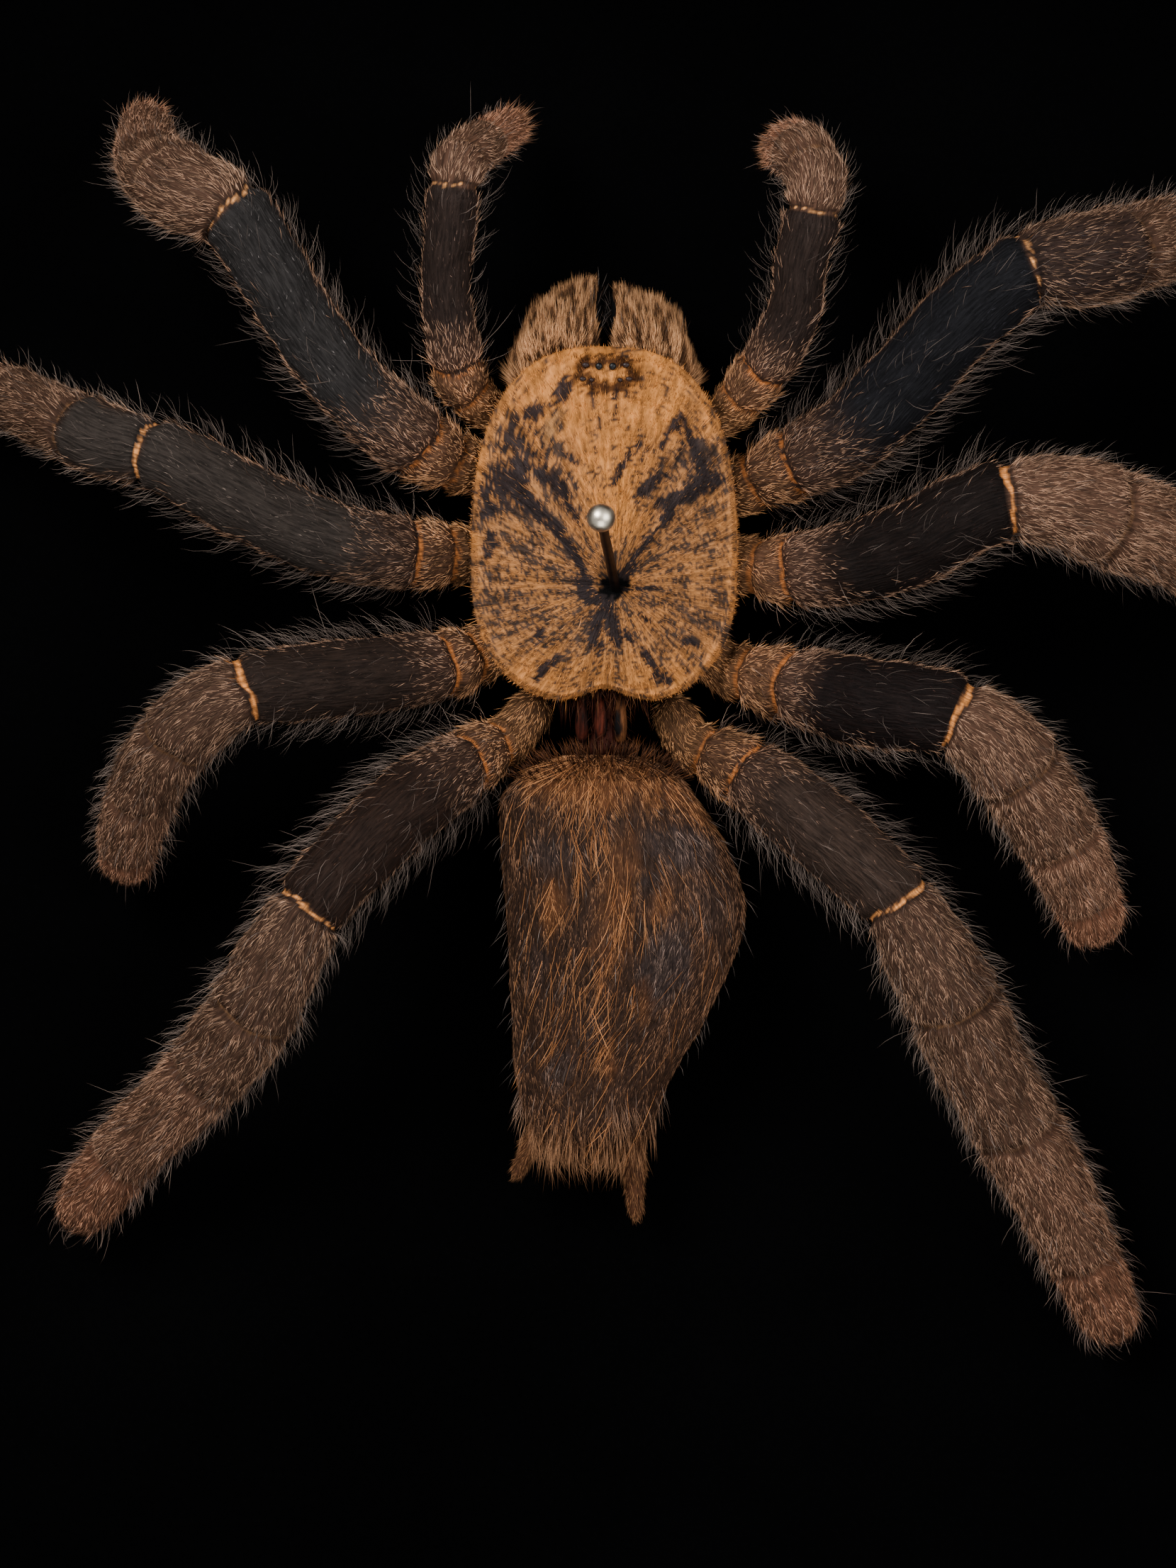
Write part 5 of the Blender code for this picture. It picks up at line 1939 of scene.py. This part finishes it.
@dataclass
class Chelicera:
    """A jaw with its combed fur and its fang."""

    name: str
    side: int
    inner: float
    front: float
    count: int = 15000

    FANG = (
        (2.9, 29.9, 6.0, 1.9), (3.0, 30.2, 4.2, 1.8), (2.9, 29.3, 2.5, 1.5), (2.7, 27.8, 1.7, 1.1),
        (2.4, 26.2, 1.4, 0.7),
    )

    def depth(self, points: Array) -> Array:
        """Measures how far to the side of the split between the jaws each point lies."""
        return (points[:, 0] - MIDDLE_X) * self.side - self.inner

    def skin_tones(self, points: Array, *_: Array) -> Array:
        """Paints the skin, with painted shade that makes it nearly black in the split between the jaws."""
        # Painted shade: the skin goes to near-black towards the split between the jaws.
        return mix(NIGHT * 0.3, OCHRE * 0.4, rise(0.25, 0.8, self.depth(points)))

    @staticmethod
    def fang_tones(_: Array, u: Array, __: Array) -> Array:
        """Paints the fang, dark red at its base and black to the tip."""
        return mix(BLOOD, NIGHT, rise(0.2, 0.7, u))

    def build(self, finishes: Finishes) -> None:
        """Builds the jaw's skin, its hair and the glossy fang folded back beneath it.

        Args:
            finishes: The materials.
        """
        form = CheliceraForm(self.side, self.inner, self.front)
        name = self.name + "_skin"
        skin_piece(name, form, (64, 64), self.skin_tones, finishes.skin, (self.name,))
        stations = tuple((MIDDLE_X + self.side * x, y, z, width) for x, y, z, width in self.FANG)
        fang = LimbForm(stations, (), pile=0.0, seed=3)
        skin_piece(self.name + "_fang", fang, (28, 14), self.fang_tones, finishes.horn)
        hair_piece(self.name + "_hair", [self.fur(form), self.bristles(form)], finishes.hair)

    def fur(self, form: CheliceraForm) -> Hairs:
        """Combs the dense fur forwards, in streaks of light and dark.

        Args:
            form: The jaw's surface.

        Returns:
            The hairs.
        """
        rng = np.random.default_rng(40 + self.side)
        u, v = form.scatter(self.count, rng, 0.1, 1.0)
        spots = form.frames(u, v)
        place, _, normal = spots
        depth = self.depth(place)
        front = rise(30.3, 31.6, place[:, 1])
        keep = (place[:, 1] > 23.6) & (depth > 0.35 * (normal[:, 2] < 0.5) + 0.2 * front)
        keep &= (normal[:, 2] > -0.4) | (rng.uniform(0, 1, len(u)) < 0.3)
        place, ahead, normal = chosen(spots, keep)
        front = front[keep]
        away = np.minimum(1, depth[keep] / 2)[:, None]
        lie = unit(np.array([[0.0, 1.0, 0.0]]) + ahead * [0.35, 0.3, 0.3] * away)
        yaw = 0.5 * (cloud(place / [0.9, 3.0, 3.0], 52) - 0.5)
        outside = rise(0.3, 0.8, normal[:, 0] * self.side)
        tuft = rise(0.5, 0.8, cloud(place / 1.1, 53)) * np.maximum(outside, front)
        dark = 0.9 * rise(0.44, 0.64, cloud(place / [0.2, 1.8, 0.6], 50))
        broad = (0.6 + 0.7 * cloud(place / [0.8, 2.4, 2.0], 51)) * (1 + 0.3 * front)
        root = mix(OCHRE, NIGHT, dark) * broad[:, None]
        tip = mix(OCHRE_TIP, BROWN * 0.7, dark) * broad[:, None]
        growth = Growth((0.6, 1.3), (4, 20), (0.2, 0.9), (0.055, 0.085), 1, 0.1)
        steeper = 62 * rise(0.3, 0.9, normal[:, 1])
        return growth.grow(rng, (place, lie, normal), root, tip, yaw, 1 + 0.6 * tuft, steeper)

    def bristles(self, form: CheliceraForm) -> Hairs:
        """Stands a few dark bristles out of the front.

        Args:
            form: The jaw's surface.

        Returns:
            The hairs.
        """
        rng = np.random.default_rng(60 + self.side)
        place, _, normal = form.frames(*form.scatter(130, rng, 0.55, 1.0))
        lie = np.tile([[0.0, 1.0, 0.0]], (len(place), 1))
        tip = mix(UMBER, ASH * 0.6, rng.uniform(0, 1, len(place)))
        growth = Growth((1.0, 2.0), (20, 60), (0.1, 0.9), (0.04, 0.06), 3)
        return growth.grow(rng, (place, lie, normal), NIGHT, tip)


# Abdomen


ABDOMEN_GREY = (
    Mark(3.4, -8.1, 2.3, 1.3, -10, 0.75), Mark(2.5, -16.2, 2.8, 1.7, 80, 0.75),
    Mark(1.2, -10.6, 0.8, 0.5, 40, 0.6), Mark(-5.2, -8.6, 2.4, 1.0, -10, 0.5),
    Mark(-2.0, -14.6, 1.9, 0.35, 80, 0.6), Mark(-2.8, -20.8, 1.6, 0.6, 85, 0.5),
    Mark(-5.1, -23.8, 1.3, 1.0, 60, 0.5), Mark(5.6, -12.0, 2.2, 1.4, -70, 0.35),
    Mark(-6.6, -16.4, 1.6, 0.7, 80, 0.35),
)
ABDOMEN_RUST = (
    Mark(-2.6, -3.6, 4.6, 1.9, -6, 0.85), Mark(-5.5, -12.4, 1.6, 0.8, 85, 0.7),
    Mark(-1.2, -12.5, 5.0, 1.2, 80, 0.45), Mark(2.1, -12.4, 1.2, 0.6, 90, 0.5),
    Mark(4.4, -5.4, 2.6, 0.8, -40, 0.5), Mark(-1.5, -23.2, 1.4, 0.5, 90, 0.6),
    Mark(0.9, -19.2, 1.4, 0.5, 90, 0.4),
)


@dataclass
class AbdomenForm(Form):
    """The sac: ovals strung along the body, closed by a pole at each end and creased a little."""

    # y, middle x, half width, middle height, half height, over the fur
    slices: tuple[tuple[float, float, float, float, float], ...] = (
        (-1.7, -2.1, 0.0, 7.5, 0.0), (-1.95, -2.1, 3.0, 7.5, 2.3), (-2.9, -2.1, 5.4, 7.5, 4.2),
        (-4.7, -2.1, 7.1, 7.5, 5.4), (-8.2, -1.1, 8.3, 7.3, 6.3), (-12.3, -0.5, 8.8, 7.1, 6.6),
        (-16.1, -0.7, 8.3, 6.9, 6.3), (-20.4, -1.4, 7.1, 6.5, 5.5), (-24.7, -2.6, 5.7, 6.1, 4.3),
        (-28.3, -2.9, 4.3, 5.8, 3.2), (-29.6, -2.9, 2.6, 5.8, 2.0), (-30.0, -2.9, 0.0, 5.8, 0.0),
    )
    pile: float = 0.3

    def place(self, u: Array, v: Array) -> Array:
        """Gives points of the sac."""
        rows = np.array(self.slices)
        y, x, wide, z, high = curve_through(rows, np.clip(u, 0, 1) * (len(rows) - 1)).T
        turn = TURN * v
        wide, high = np.maximum(wide, 0), np.maximum(high, 0)
        less = 1 - self.pile / 7 * np.minimum(1, wide / 3)
        crease = 1 + 0.012 * np.sin(5 * turn + 0.35 * y) + 0.01 * np.sin(9 * turn - 0.5 * y + 1)
        across, up = wide * less * crease * np.cos(turn), high * less * crease * np.sin(turn)
        return np.stack([x + across, y, z + up + BOARD_FACE], axis=1)


@dataclass
class Abdomen:
    """The furred sac, its waist and the two spinnerets."""

    form: AbdomenForm = field(default_factory=AbdomenForm)

    # Middle lines of the waist and of a fold on it: y, height over the board, width
    WAIST = ((4.2, 6.6, 2.4), (2.6, 6.6, 2.5), (1.0, 6.6, 2.4), (-0.8, 6.7, 2.6), (-2.6, 6.9, 3.2))
    FOLD = ((2.6, 7.3, 0.6), (1.4, 7.9, 0.8), (0.2, 7.9, 0.9), (-0.9, 7.5, 0.6))

    def tones(self, x: Array, y: Array) -> tuple[Array, Array]:
        """Gives the root and tip tone of hair at places seen from above, with painted light on the right
        side.

        Args:
            x: Places to the side.
            y: Places along the body.

        Returns:
            The root's and the tip's colour for each place.
        """
        places = flat(x, y)
        ragged = 2.6 * (0.5 * cloud(places / [0.3, 2.2, 1.0], 71) + 0.5 * cloud(places / 0.5, 72) - 0.5)
        grey = marked(ABDOMEN_GREY, x, y, ragged)
        rust = marked(ABDOMEN_RUST, x, y, ragged)
        root = mix(srgb(52, 37, 29), srgb(50, 42, 40), grey)
        tip = mix(srgb(152, 110, 82), srgb(136, 116, 106), grey)
        # Painted light: the right side is lightened as if lit from that side; the tones also get lighter
        # towards the rear.
        light = (1 + 0.45 * rise(0, 5, x) + 0.25 * rise(-19, -25, y))[:, None]
        return mix(root, RUST * 0.5, rust) * light, mix(tip, RUST_TIP * 1.1, rust) * light

    def skin_tones(self, points: Array, *_: Array) -> Array:
        """Paints the skin with the hair's root tones darkened."""
        return self.tones(points[:, 0], points[:, 1])[0] * 0.6

    def build(self, finishes: Finishes) -> None:
        """Builds the sac, its hair, the waist and the spinnerets.

        Args:
            finishes: The materials.
        """
        skin_piece(
            "abdomen_skin", self.form, (90, 90), self.skin_tones, finishes.skin, ("abdomen",)
        )
        self.waist(finishes)
        coats = [self.short_fur(), self.long_hair(), self.rear_fringe(), self.front_ruff()]
        hair_piece("abdomen_hair", coats, finishes.hair)
        for number, (name, stations) in enumerate(SPINNERET_STATIONS.items()):
            self.spinneret(name, stations, 80 + number, finishes)

    def short_fur(self) -> Hairs:
        """Combs the short coat back along the sac.

        Returns:
            The hairs.
        """
        rng = np.random.default_rng(21)
        u, v = self.form.scatter(32000, rng, 0.015, 0.99)
        spots = chosen(self.form.frames(u, v), rng.uniform(0, 1, len(u)) < 0.62 + 0.38 * np.sin(TURN * v))
        place = spots[0]
        yaw = 0.9 * (cloud(place / [1.6, 3.0, 2.0], 23) - 0.5)
        shade = 0.35 + 1.25 * rise(0.15, 0.85, cloud(place / [0.35, 2.0, 0.5], 24))
        shade = (shade * np.where(rng.uniform(0, 1, len(place)) < 0.04, 2.6, 1.0))[:, None]
        root, tip = self.tones(place[:, 0], place[:, 1])
        growth = Growth((0.5, 1.1), (5, 20), (-0.4, 0.5), (0.05, 0.08), 1, 0.2, 0.4)
        return growth.grow(rng, spots, root * 0.8 * shade, tip * shade, yaw)

    def long_hair(self) -> Hairs:
        """Lays the long rust-coloured strands over the middle of the top, in loose locks.

        Returns:
            The hairs.
        """
        rng = np.random.default_rng(22)
        u, v = self.form.scatter(12000, rng, 0.1, 0.9)
        spots = self.form.frames(u, v)
        x, y = spots[0][:, 0], spots[0][:, 1]
        locks = rise(0.3, 0.75, cloud(spots[0] / [0.6, 6.0, 4.0], 28))
        middle = bell(x + 2.6, 2.9) * (1 - 0.7 * rise(-20, -24, y))
        keep = (np.sin(TURN * v) > 0.3) & (rng.uniform(0, 1, len(u)) < 0.01 + 0.45 * middle * locks)
        spots = chosen(spots, keep)
        lock = cloud(spots[0] / [1.1, 4.0, 2.0], 27) - 0.5
        pale = rng.uniform(0, 1, len(lock)) ** 0.7
        growth = Growth((1.8, 5.0), (4, 11), (-0.9, -0.2), (0.035, 0.065), 3, 0.12, 0.35)
        root, tip = mix(RUST * 0.7, RUST, pale), mix(RUST, RUST_TIP, pale)
        hairs = growth.grow(rng, spots, root, tip, 0.9 * lock - 0.16)
        hairs.last = unit(hairs.last + 0.35 * rng.normal(0, 1, (len(lock), 1)) * np.array([[1.0, 0, 0]]))
        return hairs

    def rear_fringe(self) -> Hairs:
        """Stands a fringe out of the rear end, where it fans out in tufts, and thinly out of the sides.

        Returns:
            The hairs.
        """
        rng = np.random.default_rng(25)
        spots = self.form.frames(*self.form.scatter(12000, rng, 0.25, 1.0))
        rear = rise(-24, -28.5, spots[0][:, 1])
        tufts = rise(0.35, 0.65, cloud(spots[0] / [0.7, 3.0, 1.6], 37))
        keep = rng.uniform(0, 1, len(rear)) < 0.03 + 0.9 * rear * (0.25 + 0.75 * tufts)
        place, ahead, normal = chosen(spots, keep)
        rear, tufts = rear[keep], tufts[keep]
        fan = unit((place - [-2.9, -20.0, 5.8 + BOARD_FACE]) * [1.3, 1.0, 0.4])
        lie = unit(ahead + rear[:, None] * (3.0 * fan + [0.0, -1.5, 0.0]))
        tip = mix(ASH * 0.7, srgb(186, 134, 96), rear)
        growth = Growth((1.1, 2.3), (22, 60), (0.3, 1.0), (0.035, 0.06), 2, 0.15)
        steeper = -20 * rear + 45 * rise(0.3, 0.95, -normal[:, 1])
        stretch = 1 + 0.6 * rear * tufts
        return growth.grow(rng, (place, lie, normal), srgb(66, 45, 34), tip, 0.0, stretch, steeper)

    def front_ruff(self) -> Hairs:
        """Stands dark brown hair out of the front end, which fills the hollow behind the carapace.

        Returns:
            The hairs.
        """
        rng = np.random.default_rng(29)
        u, v = self.form.scatter(2000, rng, 0.0, 0.3)
        spots = self.form.frames(u, v)
        spots = chosen(spots, (spots[0][:, 1] > -3.6) & (np.sin(TURN * v) > -0.4))
        tip = mix(BROWN * 0.5, RUST * 0.8, rng.uniform(0, 1, len(spots[0])) ** 3)
        growth = Growth((0.8, 1.9), (50, 95), (0.7, 1.3), (0.05, 0.085), 2, 0.5, 0.35)
        return growth.grow(rng, spots, SKIN_BROWN * 0.6, tip)

    def waist(self, finishes: Finishes) -> None:
        """Builds the narrow waist, three reddish folds of skin along its top, and its dark red hair.

        Args:
            finishes: The materials.
        """
        stations = tuple((MIDDLE_X, *station) for station in self.WAIST)
        form = LimbForm(stations, (), pile=0.05, seed=5)
        skin_piece("waist_skin", form, (24, 24), BLOOD * 0.4, finishes.skin)
        folds = ((-3.45, BLOOD * 0.7), (-2.1, BLOOD * 1.1), (-0.7, RUST * 0.35))
        for number, (x, shade) in enumerate(folds, 1):

            def streaked(points: Array, *_: Array, shade: Array = shade) -> Array:
                """Paints a fold in one tone with black streaks along it."""
                return mix(shade, NIGHT, rise(0.4, 0.7, cloud(points / [0.2, 1.0, 0.4], 30)))

            fold = LimbForm(tuple((x, *station) for station in self.FOLD), (), pile=0.0, seed=number)
            skin_piece(f"waist_fold_{number}", fold, (26, 18), streaked, finishes.skin)
        rng = np.random.default_rng(26)
        spots = form.frames(*form.scatter(460, rng, 0.1, 0.9))
        tip = mix(BLOOD * 0.5, BROWN * 0.7, rng.uniform(0, 1, len(spots[0])))
        growth = Growth((0.9, 2.0), (25, 75), (0.1, 0.8), (0.05, 0.09), 2, 0.4)
        hair_piece("waist_hair", [growth.grow(rng, spots, BLOOD * 0.3, tip)], finishes.hair)

    def spinneret(
        self, name: str, stations: tuple[Station, ...], seed: int, finishes: Finishes
    ) -> None:
        """Builds one jointed spinneret and its fur.

        Args:
            name: The piece's name.
            stations: Its middle line, with widths.
            seed: Chooses the pattern.
            finishes: The materials.
        """
        form = LimbForm(stations, (1.0, 2.0), pile=0.16, seed=seed)
        skin_piece(name + "_skin", form, (34, 20), BROWN * 0.6, finishes.skin, (name,))
        rng = np.random.default_rng(seed)
        spots = form.frames(*form.scatter(1000, rng, 0.1, 1.0))
        growth = Growth((0.4, 0.9), (10, 40), (0.5, 0.5), (0.04, 0.07))
        tip = mix(BROWN_TIP, RUST_TIP, rng.uniform(0, 0.6, len(spots[0])))
        coat = growth.grow(rng, spots, BROWN * 0.8, tip)
        hair_piece(name + "_hair", [coat], finishes.hair)


# Pin


@dataclass
class PinForm(Form):
    """The pin, turned about its axis: a long point, a straight shank and a ball head."""

    head: Triple = (-2.1, 14.6, 22.0)
    entry: Triple = (-1.1, 10.2, 11.6)
    radius: float = 0.35
    head_radius: float = 1.0
    point_height: float = -6.4
    taper: float = 3.0

    def profile(self) -> Array:
        """Lists distance along the axis and radius, from the point to the crown of the head.

        Returns:
            Rows of distance and radius in millimetres.
        """
        axis = np.array(self.head) - np.array(self.entry)
        length = np.linalg.norm(axis) * (self.head[2] - self.point_height) / axis[2]
        neck = math.asin(self.radius / self.head_radius)
        turn = np.linspace(neck, math.pi, 22)
        ball = np.stack([length - self.head_radius * np.cos(turn), self.head_radius * np.sin(turn)], axis=1)
        point = [(0.0, 0.0), (0.5, 0.12), (self.taper * 0.4, self.radius * 0.55), (self.taper, self.radius)]
        return np.concatenate([point, [(length / 2, self.radius)], ball])

    def levels(self, rows: int) -> Array:
        """Puts a ring at each point of the profile."""
        count = len(self.profile()) - 1
        return np.arange(1, count) / count

    def place(self, u: Array, v: Array) -> Array:
        """Gives points of the pin: a circle about the tilted axis at each distance along it."""
        profile = self.profile()
        position = np.clip(u, 0, 1) * (len(profile) - 1)
        index = np.arange(len(profile))
        along = np.interp(position, index, profile[:, 0])
        radius = np.interp(position, index, profile[:, 1])
        axis = unit(np.array(self.head) - np.array(self.entry))
        tip = np.array(self.entry) + axis * ((self.point_height - self.entry[2]) / axis[2])
        side = unit(np.cross(axis, [0.0, 0.0, 1.0]))
        up = np.cross(side, axis)
        turn = TURN * v
        spoke = np.outer(np.cos(turn), side) + np.outer(np.sin(turn), up)
        return tip + np.outer(along, axis) + spoke * radius[:, None] + [0.0, 0.0, BOARD_FACE]


def build_pin(finishes: Finishes) -> None:
    """Builds the smooth pin in the place of its solid.

    Args:
        finishes: The materials.
    """
    points, _, _, quads, triangles = PinForm().skin(30, 32)
    mesh = array_mesh("pin_turned", points, quads, triangles)
    add_piece("pin_turned", mesh, finishes.steel, ("pin",))


# Frame, studio and the whole


@dataclass
class BoxFrame:
    """The frame's own solids, which keep their shape and get their finishes, and the glue in their mitres.

    A glue sheet is given by its reach from the middle along x and y at each end, and the height of its foot.
    """

    nodes: dict[str, bpy.types.Object]
    glue_sheets: tuple[Triple, Triple] = ((70.3, 76.2, 13.4), (76.2, 83.6, 0.4))
    glue_half: float = 0.17
    glue_top: float = 41.5

    def dress(self, finishes: Finishes) -> None:
        """Gives each rail, board and panel point its material.

        Args:
            finishes: The materials.
        """
        wear = {"backing_board": finishes.board, "back_panel": finishes.panel}
        for side in ("top", "left", "bottom", "right"):
            lies_across = side in ("top", "bottom")
            wear["rail_" + side] = finishes.rail_across if lies_across else finishes.rail_upright
            wear["panel_point_" + side] = finishes.point_steel
        for name, material in wear.items():
            self.nodes[name].data.materials.clear()
            self.nodes[name].data.materials.append(material)
            LOG.info("%s dressed", name)
        self.glue(finishes.rail_upright)

    def glue(self, material: Material) -> None:
        """Fills the rails' mitres with thin sheets of dark glue, so that no light shows through.

        On each diagonal of the frame one sheet stands over the rabbet and one outside it, as thick as the
        mitre's gap and 0.02 mm into the wood on each side.

        Args:
            material: The finish of the glue.
        """
        box = np.array([(3, 2, 1, 0), (4, 5, 6, 7), (0, 1, 5, 4), (1, 2, 6, 5), (2, 3, 7, 6), (3, 0, 4, 7)])
        points, quads = [], []
        for along in np.array([(-1, -1), (1, -1), (1, 1), (-1, 1)]):
            across = np.array([-along[1], along[0]]) * self.glue_half / math.sqrt(2)
            for inner, outer, foot in self.glue_sheets:
                ends = [inner * along - across, outer * along - across]
                ends += [outer * along + across, inner * along + across]
                quads.append(box + 8 * len(quads))
                points += [np.column_stack([ends, np.full(4, level)]) for level in (foot, self.glue_top)]
        no_triangles = np.zeros((0, 3), np.int32)
        mesh = array_mesh("mitre_glue", np.concatenate(points), np.concatenate(quads), no_triangles)
        mesh.shade_flat()
        add_piece("mitre_glue", mesh, material)


@dataclass
class Studio:
    """A pale floor, soft lights and the camera straight over the specimen."""

    aim: tuple[float, float] = (-3.0, -3.8)
    focus_height: float = 22.8
    distance: float = 600.0
    seen_height: float = 110.6
    lens_width: float = 36.0
    floor_half: float = 1.5
    floor_tone: Station = (0.78, 0.77, 0.75, 1.0)
    sky_tone: Station = (0.9, 0.93, 1.0, 1.0)
    sky_strength: float = 0.35
    # Each light's place and size in metres, and its power in watts
    lights: tuple[tuple[str, Triple, float, float], ...] = (
        ("key", (-0.45, 0.45, 0.75), 0.45, 13.0),
        ("fill", (0.55, 0.1, 0.7), 0.6, 6.5),
        ("front", (0.0, -0.7, 0.6), 0.7, 4.0),
    )

    def floor(self) -> None:
        """Lays the floor under the frame."""
        mesh = bpy.data.meshes.new("floor")
        half = self.floor_half
        corners = [(-half, -half, 0.0), (half, -half, 0.0), (half, half, 0.0), (-half, half, 0.0)]
        mesh.from_pydata(corners, [], [(0, 1, 2, 3)])
        material = bpy.data.materials.new("floor")
        material.use_nodes = True
        shader = material.node_tree.nodes["Principled BSDF"]
        shader.inputs["Base Color"].default_value = self.floor_tone
        shader.inputs["Roughness"].default_value = 0.7
        mesh.materials.append(material)
        floor = bpy.data.objects.new("floor", mesh)
        bpy.context.scene.collection.objects.link(floor)

    def light(self, name: str, place: Triple, size: float, power: float) -> None:
        """Hangs one square soft light that points at the specimen.

        Args:
            name: The light's name.
            place: Its place in metres.
            size: Its side in metres.
            power: Its power in watts.
        """
        lamp = bpy.data.lights.new(name, "AREA")
        lamp.size = size
        lamp.energy = power
        holder = bpy.data.objects.new(name, lamp)
        holder.location = place
        aim = Vector((0.0, 0.0, 0.02)) - Vector(place)
        holder.rotation_euler = aim.to_track_quat("-Z", "Y").to_euler()
        bpy.context.scene.collection.objects.link(holder)

    def build(self) -> None:
        """Sets up floor, lights, surroundings and camera."""
        self.floor()
        for light in self.lights:
            self.light(*light)
        world = bpy.data.worlds.new("studio")
        world.use_nodes = True
        sky = world.node_tree.nodes["Background"]
        sky.inputs["Color"].default_value = self.sky_tone
        sky.inputs["Strength"].default_value = self.sky_strength
        bpy.context.scene.world = world
        camera = bpy.data.cameras.new("camera")
        camera.sensor_width = self.lens_width
        camera.lens = camera.sensor_width * self.distance / self.seen_height
        camera.clip_start, camera.clip_end = 0.05, 10.0
        holder = bpy.data.objects.new("camera", camera)
        holder.location = (self.aim[0] * MM, self.aim[1] * MM, (self.focus_height + self.distance) * MM)
        bpy.context.scene.collection.objects.link(holder)
        bpy.context.scene.camera = holder


def main() -> None:
    """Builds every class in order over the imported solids."""
    logging.basicConfig(level=logging.INFO, format="%(name)s: %(message)s")
    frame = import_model()
    finishes = Finishes()
    Studio().build()
    BoxFrame(frame["nodes"]).dress(finishes)
    carapace = Carapace()
    carapace.build(finishes)
    Chelicera("chelicera_left", -1, 0.22, 31.8).build(finishes)
    Chelicera("chelicera_right", 1, 0.45, 31.2).build(finishes)
    Abdomen().build(finishes)
    for number, (name, stations) in enumerate(LIMB_STATIONS.items()):
        form = LimbForm(stations, LEG_JOINTS[name], seed=number + 1)
        Limb(name, form, LIMB_LOOKS[name], carapace.form).build(finishes)
    build_pin(finishes)


if __name__ == "__main__":
    main()
